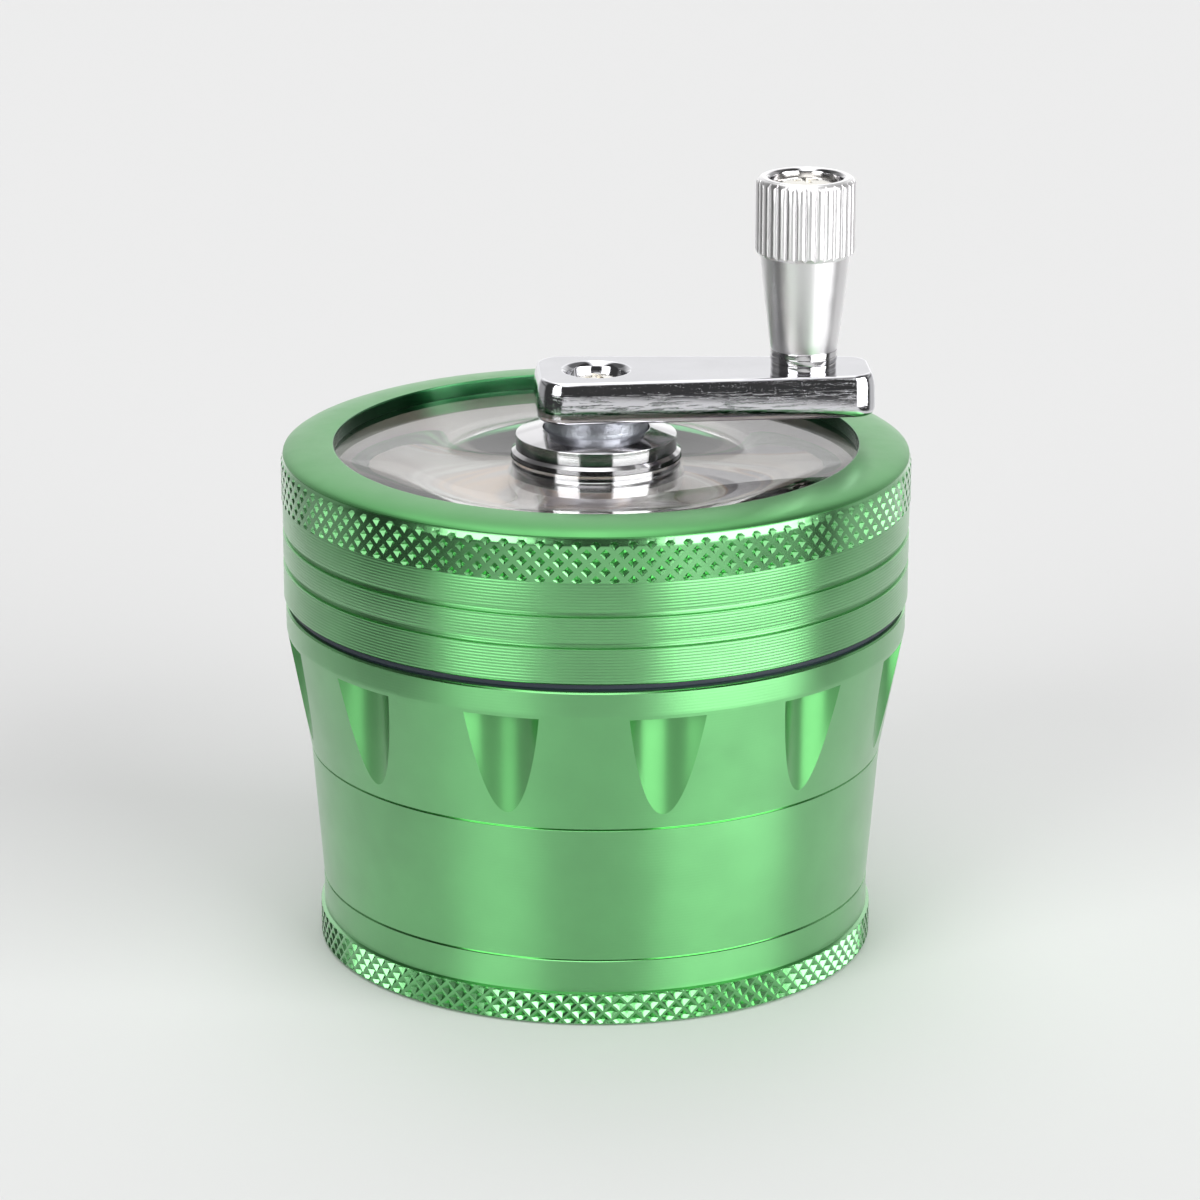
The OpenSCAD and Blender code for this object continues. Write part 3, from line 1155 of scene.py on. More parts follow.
@dataclass
class StorageChamber:
    """Tapered middle section with a thread at both ends and the screen in its floor."""

    box: Extent = field(default_factory=lambda: extent("storage_chamber"))
    screen: Extent = field(default_factory=lambda: extent("pollen_screen"))
    foot_r: float = 27.75
    joint: float = 6.7
    male: float = 25.9
    female: float = 25.98
    thread_root: float = 0.45
    relief: float = 0.5
    sieve_r: float = 23.2
    room_r: float = 25.0
    columns: int = 480
    wire_pitch: float = 1.25
    wire: float = 0.14
    lower: ScrewThread = field(default_factory=lambda: ScrewThread(low=3.5, high=6.3))
    upper: ScrewThread = field(default_factory=lambda: ScrewThread(low=17.3, high=20.2))

    def build(self) -> None:
        """Builds and dresses the chamber, its screen and the ring."""
        wall, edge = range(2)
        top = self.box.high.z
        bottom = self.box.low.z
        ledge = self.screen.low.z
        outline = [
            Station(self.sieve_r, bottom, wall, round=0.2),
            Station(self.male - self.thread_root, bottom, round=0.1),
            *self.lower.rows(self.male),
            Station(self.male - self.relief, self.joint),
            *broken(self.foot_r, self.joint, 0.1, False, edge),
            *broken(self.box.radius, top, 0.14, True, edge),
            Station(self.female, top, round=0.2),
            *reversed(self.upper.rows(self.female)),
            Station(self.female - self.relief, 17.0),
            Station(self.room_r, 16.4, round=0.4),
            Station(self.room_r, ledge),
            Station(self.sieve_r, ledge),
        ]
        shell = turned("storage_chamber_turned", outline, [FINE_GREEN, EDGE_GREEN], self.columns)
        settle(shell, "storage", Slot.GREEN, "storage_chamber")
        self.weave()
        dress("screen_ring", GROUND_STEEL)

    def weave(self) -> None:
        """Weaves the screen: wires pass over and under each other, each a square tube that waves."""
        # a real screen has about four wires to the millimetre, too fine to show, so it is drawn this coarse
        pitch, wire = self.wire_pitch, self.wire
        shape = bmesh.new()
        reach = self.screen.radius - 0.1
        middle = self.screen.middle.z
        crimp = wire * 0.25
        thin = 0.35
        section = ((-wire, 0), (0, -wire), (wire, 0), (0, wire))
        count = int(reach / pitch)
        for along in (0, 1):
            for i in range(-count, count + 1):
                across = i * pitch
                half = math.sqrt(reach**2 - across**2)
                steps = max(2, 2 * int(half / pitch))
                ring: list[Vert] = []
                for k in range(steps + 1):
                    run = -half + 2 * half * k / steps
                    lift = crimp * math.cos(math.pi * (run / pitch + i)) * (1 if along else -1)
                    spots = []
                    for side, rise in section:
                        x, y = (run, across + side / 2) if along else (across + side / 2, run)
                        spots.append(shape.verts.new((x, y, middle + lift + rise * thin)))
                    if ring:
                        bridge(shape, ring, spots)
                    else:
                        shape.faces.new(spots)
                    ring = spots
                shape.faces.new(list(reversed(ring)))
        cloth = finish_mesh("pollen_screen_woven", shape, [GROUND_STEEL], sharp=60)
        settle(cloth, "storage", Slot.CLOTH, "pollen_screen")


@dataclass
class GrindingChamber:
    """Conical section with twelve upright flutes, a floor with drop holes and standing teeth."""

    box: Extent = field(default_factory=lambda: extent("grinding_chamber"))
    teeth: Extent = field(default_factory=lambda: extent("chamber_teeth"))
    joint: float = 20.6
    joint_edge: float = 0.2
    foot_r: float = 28.9
    cone_top: float = 32.9
    flute_top: float = 32.5
    flute_rows: int = 26
    flute_crowding: float = 1.6
    shoulder: float = 35.3
    spigot_r: float = 28.0
    room_r: float = 26.2
    floor: float = 26.6
    under: float = 24.2
    male: float = 25.9
    bore: float = 23.5
    boss_r: float = 5.2
    boss_top: float = 38.4
    magnet_r: float = 4.05
    magnet_depth: float = 2.5
    hole_r: float = 2.3
    holes: tuple[tuple[float, int], ...] = ((11.9, 8), (19.7, 12))
    thread: ScrewThread = field(default_factory=lambda: ScrewThread(low=17.3, high=20.2))

    def cone(self, z: float) -> float:
        """Radius of the cone at a height.

        Args:
            z: the height.

        Returns:
            The radius.
        """
        share = (z - self.joint - self.joint_edge) / (self.cone_top - self.joint - self.joint_edge)
        return self.foot_r + (self.box.radius - self.foot_r) * min(1.0, max(0.0, share))

    def flute_tip(self, flutes: SideFlutes) -> float:
        """Height where the hollows run out of the cone.

        Args:
            flutes: the hollows.

        Returns:
            The height.
        """
        foot = self.joint + self.joint_edge
        share = (flutes.deepest - self.foot_r) / (self.box.radius - self.foot_r)
        return foot + share * (self.cone_top - foot)

    def build(self) -> None:
        """Builds and dresses the chamber and its teeth."""
        wall, _, edge = range(3)
        collar, top = self.box.radius, self.box.high.z
        bottom = self.box.low.z
        flutes = SideFlutes(
            count=12,
            cutter=5.0,
            at=34.15,
            turn=math.radians(13),
            top_r=self.cone(self.flute_top),
            waist=self.floor - 0.5,
        )
        tip = self.flute_tip(flutes)
        shares = [(k / self.flute_rows) ** self.flute_crowding for k in range(self.flute_rows + 1)]
        heights = [tip + (self.flute_top - tip) * share for share in shares]
        pocket = self.boss_top - self.magnet_depth
        outline = [
            Station(self.bore, bottom, round=0.2),
            Station(self.male - 0.45, bottom, round=0.1),
            *self.thread.rows(self.male),
            Station(self.male - 0.5, self.joint),
            *broken(self.foot_r, self.joint, 0.1, False, edge),
            *(Station(self.cone(z), z, wall, cut=flutes) for z in heights),
            Station(self.cone(self.flute_top), self.flute_top),
            Station(collar, self.cone_top, round=0.2),
            *broken(collar, self.shoulder, 0.16, True, edge),
            Station(self.spigot_r, self.shoulder, round=0.05),
            Station(self.spigot_r, top, round=0.3),
            Station(self.room_r, top, round=0.2),
            Station(self.room_r, self.floor, round=0.6),
            Station(self.boss_r, self.floor, round=0.4),
            Station(self.boss_r, self.boss_top, round=0.3),
            Station(self.magnet_r, self.boss_top, round=0.1),
            Station(self.magnet_r, pocket),
            Station(0, pocket),
            Station(0, self.under),
            Station(self.bore, self.under, round=0.6),
        ]
        finishes = [FINE_GREEN, MILLED_GREEN, EDGE_GREEN]
        shell = turned("grinding_chamber_turned", outline, finishes, flutes.columns, angles=flutes.angles)
        carve(shell, self.drills())
        self.mark_flutes(shell, flutes)
        settle(shell, "grinding", Slot.GREEN, "grinding_chamber")
        self.stand_teeth()
        dress("chamber_magnet", NICKEL_STEEL)

    def mark_flutes(self, shell: Piece, flutes: SideFlutes) -> None:
        """Gives the hollows the milled finish and a crisp edge all the way to their tips.

        Args:
            shell: the chamber.
            flutes: the hollows.
        """
        wall, hollow = range(2)
        skin = self.foot_r - 0.4
        tip = self.flute_tip(flutes)
        for face in shell.data.polygons:
            spot = face.center / MM
            if not tip < spot.z < self.flute_top:
                continue
            if math.hypot(spot.x, spot.y) < skin:
                continue
            place = flutes.place(math.atan2(spot.y, spot.x))
            if abs(place) < flutes.edge(self.cone(spot.z)):
                face.material_index = hollow
        sides: dict[tuple[int, int], set[int]] = {}
        for face in shell.data.polygons:
            for key in face.edge_keys:
                sides.setdefault(key, set()).add(face.material_index)
        for edge in shell.data.edges:
            if sides[edge.key] == {wall, hollow}:
                edge.use_edge_sharp = True

    def drills(self) -> Piece:
        """Makes the cutter for the drop holes.

        Returns:
            The cutter.
        """
        shape = bmesh.new()
        for ring, count in self.holes:
            for i in range(count):
                angle = math.tau * (i + 0.5) / count
                bore = circle(ring * math.cos(angle), ring * math.sin(angle), self.hole_r, 40)
                low = loop(shape, bore, self.under - 1)
                high = loop(shape, bore, self.floor + 1)
                bridge(shape, low, high)
                cap(shape, [low])
                cap(shape, [high])
        return finish_mesh("drop_hole_drills", shape, [TURNED_GREEN])

    def stand_teeth(self) -> None:
        """Stands the three rings of teeth on the floor."""
        shape = bmesh.new()
        root, tip = self.teeth.low.z, self.teeth.high.z
        for ring in range(3):
            diamond_ring(shape, 8.0 + TOOTH_RING_STEP * ring, 6 + 6 * ring, root, tip)
        teeth = finish_mesh("chamber_teeth_milled", shape, [MILLED_GREEN])
        settle(teeth, "grinding", Slot.GREEN, "chamber_teeth")


@dataclass
class Lid:
    """Lid: friction ring, knurled and grooved ring, window, hub."""

    box: Extent = field(default_factory=lambda: extent("lid_ring"))
    ring: Extent = field(default_factory=lambda: extent("friction_ring"))
    glass: Extent = field(default_factory=lambda: extent("window"))
    bush: Extent = field(default_factory=lambda: extent("hub_bush"))
    nut: Extent = field(default_factory=lambda: extent("hub_nut"))
    bore: float = 28.9
    pocket: float = 27.7
    pocket_foot: float = 6.05
    lip: float = 26.2
    wall: float = 0.1
    groove: float = 0.35
    grooves: tuple[float, ...] = (3.6, 6.7)
    knurl: tuple[float, float] = (10.15, 13.85)
    knurl_end: float = 0.34
    steep: tuple[float, float] = (0.22, 0.62)
    crown_rise: float = 1.12
    crown_rows: int = 14
    columns: int = 1120
    friction_inner: float = 28.05
    friction_outer: float = 28.85
    friction_flange: float = 0.85
    hub_bore: float = 5.28
    hub_spigot: float = 7.0
    hub_flange: float = 0.95

    def build(self) -> None:
        """Builds and dresses the lid."""
        self.build_ring()
        self.build_friction_ring()
        self.build_window()
        self.build_hub()
        dress("window_ring", GROUND_STEEL)
        dress("thrust_washer", NATURAL_NYLON)

    def groove_rows(self, r: float, z: float, edge: int) -> list[Station]:
        """Stations of one groove with a narrow bevel at each side.

        Args:
            r: radius of the wall.
            z: height of the groove's lower side.
            edge: material number of the bevels.

        Returns:
            The stations.
        """
        root = r - self.groove
        return [
            Station(r, z - 0.05, edge),
            Station(r - 0.07, z),
            Station(root, z + 0.02, round=0.05),
            Station(root, z + 0.5, edge),
            Station(r - 0.04, z + 0.58),
            Station(r, z + 0.75),
        ]

    def build_ring(self) -> None:
        """Turns the lid's ring with its grooves, knurl and crown."""
        wall, knurl, crown, edge, lip_painted_shade = range(5)
        low, top = self.box.low.z, self.box.high.z
        crest = self.box.radius
        r = crest - self.wall
        outline = [Station(self.bore, low, wall, round=0.2), *broken(r, low, 0.12, False, edge)]
        for height in self.grooves:
            outline += self.groove_rows(r, low + height, edge)
        knurl_low, knurl_top = (low + height for height in self.knurl)
        outline.append(Station(r, knurl_low - 0.05))
        pits = DiamondPits(count=112, pitch=1.74, first=knurl_low + 0.25, reach=0.3, depth=0.40)
        steep_r, steep_z = crest - self.steep[0], knurl_top + self.steep[1]
        for station in pits.rows(crest, knurl_low, knurl_top + self.knurl_end, knurl):
            lean = max(0.0, station.z - knurl_top) / (steep_z - knurl_top)
            outline.append(replace(station, r=crest + (steep_r - crest) * lean))
        outline.append(Station(steep_r, steep_z, crown))
        span = steep_r - self.lip - 0.05
        for k in range(1, self.crown_rows + 1):
            angle = math.radians(10 + 80 * k / self.crown_rows)
            out = self.lip + 0.25 + span * math.cos(angle)
            up = top - self.crown_rise + self.crown_rise * math.sin(angle)
            outline.append(Station(out, up, crown))
        under = self.glass.high.z
        outline += [
            # the lip's inner wall takes the darker green of painted shade
            Station(self.lip, top, lip_painted_shade, round=0.22),
            Station(self.lip, under + 0.02, lip_painted_shade),
            Station(self.pocket, under),
            Station(self.pocket, low + self.pocket_foot),
            Station(self.bore, low + self.pocket_foot, round=0.3),
        ]
        finishes = [TURNED_GREEN, KNURLED_GREEN, BLASTED_GREEN, EDGE_GREEN, BORED_GREEN_PAINTED_SHADE]
        ring = turned("lid_ring_turned", outline, finishes, self.columns)
        settle(ring, "lid", Slot.GREEN, "lid_ring")

    def build_friction_ring(self) -> None:
        """Moulds the nylon ring between lid and chamber."""
        low, high, r = self.ring.low.z, self.ring.high.z, self.ring.radius
        inner, outer = self.friction_inner, self.friction_outer
        flange = low + self.friction_flange
        outline = [
            Station(inner, low, round=0.1),
            Station(r - 0.25, low, round=0.1),
            Station(r - 0.25, low + 0.2, round=0.1),
            Station(r, low + 0.3, round=0.1),
            Station(r, flange, round=0.12),
            Station(outer, flange, round=0.1),
            Station(outer, high, round=0.2),
            Station(inner, high, round=0.1),
        ]
        ring = turned("friction_ring_moulded", outline, [SLATE_NYLON], columns=360)
        settle(ring, "lid_carrier", Slot.SLATE, "friction_ring")

    def build_window(self) -> None:
        """Turns the window with polished edges."""
        low, high, r = self.glass.low.z, self.glass.high.z, self.glass.radius
        hole = self.bush_r + 0.05
        outline = [
            Station(hole, low, round=0.08),
            Station(r, low, round=0.15),
            Station(r, high, round=0.15),
            Station(hole, high, round=0.1),
        ]
        disc = turned("window_disc", outline, [CLEAR_ACRYLIC], columns=256)
        settle(disc, "lid", Slot.ACRYLIC, "window")

    @property
    def bush_r(self) -> float:
        """Radius of the hub where it passes the window."""
        return self.bush.radius - self.hub_flange

    def build_hub(self) -> None:
        """Turns the flanged bush and the nut on top of it."""
        low, high, flange = self.bush.low.z, self.bush.high.z, self.bush.radius
        r, bore, spigot = self.bush_r, self.hub_bore, self.hub_spigot
        glass, seat = self.glass.low.z, self.nut.low.z
        outline = [
            Station(bore, low, round=0.15),
            Station(flange, low, round=0.2),
            Station(flange, glass - 1.3, round=0.1),
            Station(r + 0.2, glass - 0.05, round=0.1),
            Station(r, glass + 0.05),
            Station(r, seat - 0.3),
            Station(r - 0.38, seat - 0.02),
            Station(spigot, seat - 0.01),
            Station(spigot, high, round=0.1),
            Station(bore, high),
        ]
        bush = turned("hub_bush_turned", outline, [BRIGHT_ALUMINIUM])
        settle(bush, "lid", Slot.BRIGHT, "hub_bush")
        top, rim = self.nut.high.z, self.nut.radius
        inner = spigot + 0.02
        outline = [
            Station(inner, seat),
            Station(rim - 0.05, seat),
            Station(rim, seat + 0.05),
            Station(rim, top - 0.72, round=0.06),
            Station(6.0, top - 0.18, round=0.15),
            Station(bore + 0.12, top, round=0.08),
            Station(bore, top - 0.2),
            Station(bore, high + 0.02),
            Station(inner, high + 0.02),
        ]
        nut = turned("hub_nut_turned", outline, [BRIGHT_ALUMINIUM])
        settle(nut, "lid", Slot.BRIGHT, "hub_nut")


@dataclass
class Crank:
    """Crank: toothed plate, arm with its journal, screws, washer and knob."""

    plate: Extent = field(default_factory=lambda: extent("tooth_plate"))
    teeth: Extent = field(default_factory=lambda: extent("plate_teeth"))
    arm: Extent = field(default_factory=lambda: extent("crank_arm"))
    screw: Extent = field(default_factory=lambda: extent("crank_screw"))
    washer: Extent = field(default_factory=lambda: extent("knob_washer"))
    knob: Extent = field(default_factory=lambda: extent("knob"))
    pin: Extent = field(default_factory=lambda: extent("knob_screw"))
    thickness: float = 4.25
    counterbore: float = 2.3
    journal: float = 5.2
    tail: tuple[float, float, float] = (-6.1, 6.0, 3.0)
    nose: tuple[float, float, float] = (27.7, 4.4, 2.3)
    corner_steps: int = 12
    side_steps: int = 22
    magnet_r: float = 4.02
    magnet_depth: float = 2.2
    spigot_r: float = 3.1
    spigot_top: float = 52.4
    thread_r: float = 1.48
    tapped_r: float = 1.5
    axle_r: float = 2.0
    collar_r: float = 3.35
    waist_r: float = 3.33
    neck_r: float = 4.45
    grip_length: float = 7.85
    grip_shoulder: float = 0.55

    @property
    def knob_centre(self) -> Vector:
        """A point on the knob's axis."""
        return Vector((self.knob.middle.x, self.knob.middle.y, 0))

    @property
    def plate_top(self) -> float:
        """Height of the toothed plate's face."""
        return self.arm.low.z

    def build(self) -> None:
        """Builds and dresses the crank."""
        self.build_plate()
        self.build_arm()
        self.build_screws()
        self.build_knob()
        dress("plate_magnet", NICKEL_STEEL)

    def build_plate(self) -> None:
        """Turns the plate and hangs its teeth."""
        top, r, low = self.plate_top, self.plate.radius, self.plate.low.z
        under = self.teeth.high.z
        outline = [
            Station(0, low + self.magnet_depth),
            Station(self.magnet_r, low + self.magnet_depth),
            Station(self.magnet_r, low, round=0.15),
            Station(self.journal, low, round=0.2),
            Station(self.journal, under, round=0.2),
            Station(r, under, round=0.3),
            Station(r, top, round=0.35),
            Station(4.5, top),
            Station(self.spigot_r, top + 0.01),
            Station(self.spigot_r, self.spigot_top, round=0.3),
            Station(self.tapped_r, self.spigot_top),
            Station(self.tapped_r, top - 1),
            Station(0, top - 1),
        ]
        plate = turned("tooth_plate_chromed", outline, [PLATE_CHROME], columns=256)
        settle(plate, "crank", Slot.PLATE, "tooth_plate")
        shape = bmesh.new()
        for ring in range(2):
            diamond_ring(shape, 11.9 + TOOTH_RING_STEP * ring, 9 + 3 * ring, under, self.teeth.low.z, 15.0)
        teeth = finish_mesh("plate_teeth_chromed", shape, [GROUND_STEEL])
        settle(teeth, "crank", Slot.PLATE, "plate_teeth")

    def outline(self, grow: float) -> list[tuple[float, float]]:
        """Outline of the arm, grown evenly.

        Args:
            grow: how far each point moves outwards.

        Returns:
            Points of the outline, in the model's frame.
        """
        (tail, w0, r0), (nose, w1, r1) = self.tail, self.nose
        a, b = Vector((tail + r0, w0 - r0)), Vector((nose - r1, w1 - r1))
        lean = math.atan2(b.y - a.y, b.x - a.x) + math.acos((r0 - r1) / (b - a).length)
        steps, side = self.corner_steps, self.side_steps
        upper = []
        for centre, r, start, stop in ((a, r0, math.pi, lean), (b, r1, lean, 0.0)):
            for k in range(steps + 1):
                angle = start + (stop - start) * k / steps
                upper.append(centre + Vector((math.cos(angle), math.sin(angle))) * (r + grow))
        first, last = upper[steps], upper[steps + 1]
        between = [first.lerp(last, k / side) for k in range(1, side)]
        upper = upper[: steps + 1] + between + upper[steps + 1 :]
        points = upper + [Vector((p.x, -p.y)) for p in reversed(upper)]
        turn = Matrix.Rotation(math.atan2(self.knob.middle.y, self.knob.middle.x), 2)
        return [tuple(turn @ p) for p in points]

    def build_arm(self) -> None:
        """Casts the arm: slightly bowed sides, rounded edges, counterbore and rough journal."""
        top = self.arm.high.z
        low = top - self.thickness
        seat = top - self.counterbore
        shape = bmesh.new()
        profile = (
            (-0.8, low),
            (-0.62, low),
            (-0.38, low + 0.05),
            (-0.18, low + 0.2),
            (-0.05, low + 0.45),
            (0.0, low + 0.8),
            (0.0, low + 1.35),
            (-0.065, low + 2.95),
            (-0.13, low + 3.35),
            (-0.23, low + 3.75),
            (-0.33, top - 0.2),
            (-0.46, top - 0.05),
            (-0.6, top),
            (-0.8, top),
        )
        rings = [loop(shape, self.outline(grow), z) for grow, z in profile]
        for below, above in zip(rings, rings[1:]):
            bridge(shape, below, above)
        x, y = self.knob_centre.x, self.knob_centre.y
        flat = loop(shape, circle(0, 0, 3.6), top)
        mouth = loop(shape, circle(0, 0, 3.5), top)
        pin_top = loop(shape, circle(x, y, self.tapped_r, 32), top)
        pin_low = loop(shape, circle(x, y, self.tapped_r, 32), low)
        cap(shape, [rings[-1], flat, pin_top])
        bridge(shape, flat, mouth)
        bridge(shape, pin_top, pin_low)
        hole_profile = (
            (3.38, top - 0.06),
            (3.05, top - 0.36),
            (2.95, top - 0.5),
            (2.95, seat),
            (1.6, seat),
            (1.6, self.plate_top),
        )
        hole = [mouth] + [loop(shape, circle(0, 0, r), z) for r, z in hole_profile]
        for above, below in zip(hole, hole[1:]):
            bridge(shape, above, below)
        journal_profile = (
            (self.journal, self.plate_top),
            (self.journal, 53.0),
            (self.journal - 0.15, 53.3),
            (self.journal - 0.15, low - 0.25),
            (self.journal + 0.15, low),
        )
        boss = [hole[-1]] + [loop(shape, circle(0, 0, r), z) for r, z in journal_profile]
        as_cast = 1
        for below, above in zip(boss, boss[1:]):
            bridge(shape, below, above, as_cast)
        cap(shape, [rings[0], boss[-1], pin_low])
        arm = finish_mesh("crank_arm_cast", shape, [CHROMED_ZINC, CAST_ZINC])
        even_normals(arm)
        apply(arm)
        settle(arm, "crank", Slot.CHROME, "crank_arm")

    def threaded_end(self, low: float, shoulder: float) -> list[Station]:
        """Stations of a screw's threaded end, with a bevelled tip.

        Args:
            low: height of the tip.
            shoulder: height where the thread ends.

        Returns:
            The stations.
        """
        return [
            Station(0, low),
            Station(1.2, low, round=0.1),
            Station(self.thread_r, low + 0.4),
            Station(self.thread_r, shoulder),
        ]

    def build_screws(self) -> None:
        """Heads the crank's screw and the knob's pin, each with a cross recess."""
        low, high, r = self.screw.low.z, self.screw.high.z, self.screw.radius
        seat = high - 1.7
        rim = seat + 0.75
        outline = [
            *self.threaded_end(low, seat),
            Station(r, seat, round=0.1),
            Station(r, rim),
            *(Station(r * math.cos(a), rim + 0.95 * math.sin(a)) for a in dome(8)),
            Station(0, high),
        ]
        screw = turned("crank_screw_headed", outline, [NICKEL_STEEL], columns=64)
        carve(screw, self.cross(Vector((0, 0, high)), 1.45, 30))
        settle(screw, "crank", Slot.NICKEL, "crank_screw")
        low, high, r = self.pin.low.z, self.pin.high.z, self.pin.radius
        head, shank = high - 1.2, self.washer.low.z
        rim = head + 0.4
        outline = [
            *self.threaded_end(low, shank),
            Station(self.axle_r, shank, round=0.05),
            Station(self.axle_r, head),
            Station(r, head, round=0.1),
            Station(r, rim),
            *(Station(r * math.cos(a), rim + 0.8 * math.sin(a)) for a in dome(10)),
            Station(0, high),
        ]
        pin = turned("knob_screw_headed", outline, [NICKEL_STEEL], columns=72, centre=self.knob_centre)
        carve(pin, self.cross(self.knob_centre + Vector((0, 0, high)), 1.5, 12))
        settle(pin, "crank", Slot.NICKEL, "knob_screw")

    def cross(self, tip: Vector, reach: float, turn: float) -> Piece:
        """Makes the cutter of a cross recess, which narrows towards its foot.

        Args:
            tip: top of the screw's head.
            reach: half the length of each blade.
            turn: angle in degrees.

        Returns:
            The cutter.
        """
        foot = (reach * 0.45, 0.2, -0.95)
        mouth = (reach, 0.36, 0.3)
        shape = bmesh.new()
        rings = []
        for long, wide, z in (foot, mouth):
            spots = []
            for quarter in range(4):
                angle = math.radians(turn + 90 * quarter)
                out = Vector((math.cos(angle), math.sin(angle)))
                side = Vector((-math.sin(angle), math.cos(angle)))
                for a, b in ((wide, -wide), (long, -wide), (long, wide)):
                    spots.append(Vector((tip.x, tip.y)) + out * a + side * b)
            rings.append(loop(shape, spots, tip.z + z))
        bridge(shape, rings[0], rings[1])
        cap(shape, [rings[0]])
        cap(shape, [rings[1]])
        return finish_mesh("cross_punch", shape, [NICKEL_STEEL])

    def build_knob(self) -> None:
        """Turns the knob's washer and the knob with its fluted grip."""
        centre = self.knob_centre
        low, high, r = self.washer.low.z, self.washer.high.z, self.washer.radius
        hole, face = self.axle_r + 0.02, high - 0.06
        outline = [
            Station(hole, low),
            Station(r, low, round=0.08),
            Station(r, face, round=0.08),
            Station(hole, face),
        ]
        washer = turned("knob_washer_turned", outline, [BRIGHT_ALUMINIUM], 96, centre)
        settle(washer, "crank", Slot.BRIGHT, "knob_washer")
        knob = turned("knob_turned", self.knob_outline(), [SATIN_ALUMINIUM, BRIGHT_ALUMINIUM], 360, centre)
        settle(knob, "grip", Slot.SATIN, "knob")

    def knob_outline(self) -> list[Station]:
        """Stations of the knob: collar, hollow taper, fluted grip and cup.

        Returns:
            The stations.
        """
        satin, bright = range(2)
        low, high, crest = self.knob.low.z, self.knob.high.z, self.knob.radius
        flutes = GripFlutes(count=30, crest=crest, depth=0.32, turn=math.radians(4))
        grip = high - self.grip_length
        collar, line, bore = self.collar_r, self.collar_r - 0.07, self.axle_r + 0.08
        waist = low + 1.3
        outline = [
            Station(bore, low, bright),
            Station(collar, low, bright, round=0.1),
            Station(collar, low + 0.5, bright),
            Station(line, low + 0.56, bright),
            Station(collar, low + 0.62, bright),
            Station(collar, low + 1.15, bright, round=0.06),
            Station(line, low + 1.2, satin),
            Station(self.waist_r, waist),
        ]
        rows = 10
        for k in range(1, rows):
            t = k / rows
            swell = 1.12 * t + 0.06 * math.sin(math.pi * t)
            outline.append(Station(self.waist_r + swell, waist + (grip - waist) * t))
        outline.append(Station(self.neck_r, grip))
        shoulder, brow = self.grip_shoulder, 0.55
        foot = self.neck_r + 0.02
        steps = 8
        for k in range(steps + 1):
            r = foot + (crest - foot) * math.sin(math.pi / 2 * k / steps)
            outline.append(Station(r, grip + shoulder * k / steps, cut=flutes))
        start = grip + shoulder
        outline += [Station(crest, start + (high - start - brow) * k / 4, cut=flutes) for k in range(1, 5)]
        steps = 5
        for k in range(1, steps + 1):
            z = high - brow + 0.5 * math.sin(math.pi / 2 * k / steps)
            outline.append(Station(crest - 0.5 * k / steps, z, cut=flutes))
        cup = 3.6
        outline += [
            Station(4.4, high, satin),
            Station(3.85, high, bright, round=0.08),
            Station(cup, high - 0.3, bright, round=0.1),
            Station(cup, high - 1.6, bright, round=0.2),
            Station(bore, high - 1.6, bright),
        ]
        return outline


def dome(steps: int) -> list[float]:
    """Angles of a dome's stations between its rim and its top.

    Args:
        steps: how many stations a quarter circle is cut into.

    Returns:
        The angles, without the top itself.
    """
    return [math.pi / 2 * k / steps for k in range(1, steps)]


# ---------------------------------------------------------------- the studio


@dataclass(frozen=True)
class Light:
    """A soft box painted into the world, between four angles in degrees."""

    low_side: float
    high_side: float
    low_rise: float
    high_rise: float
    strength: float


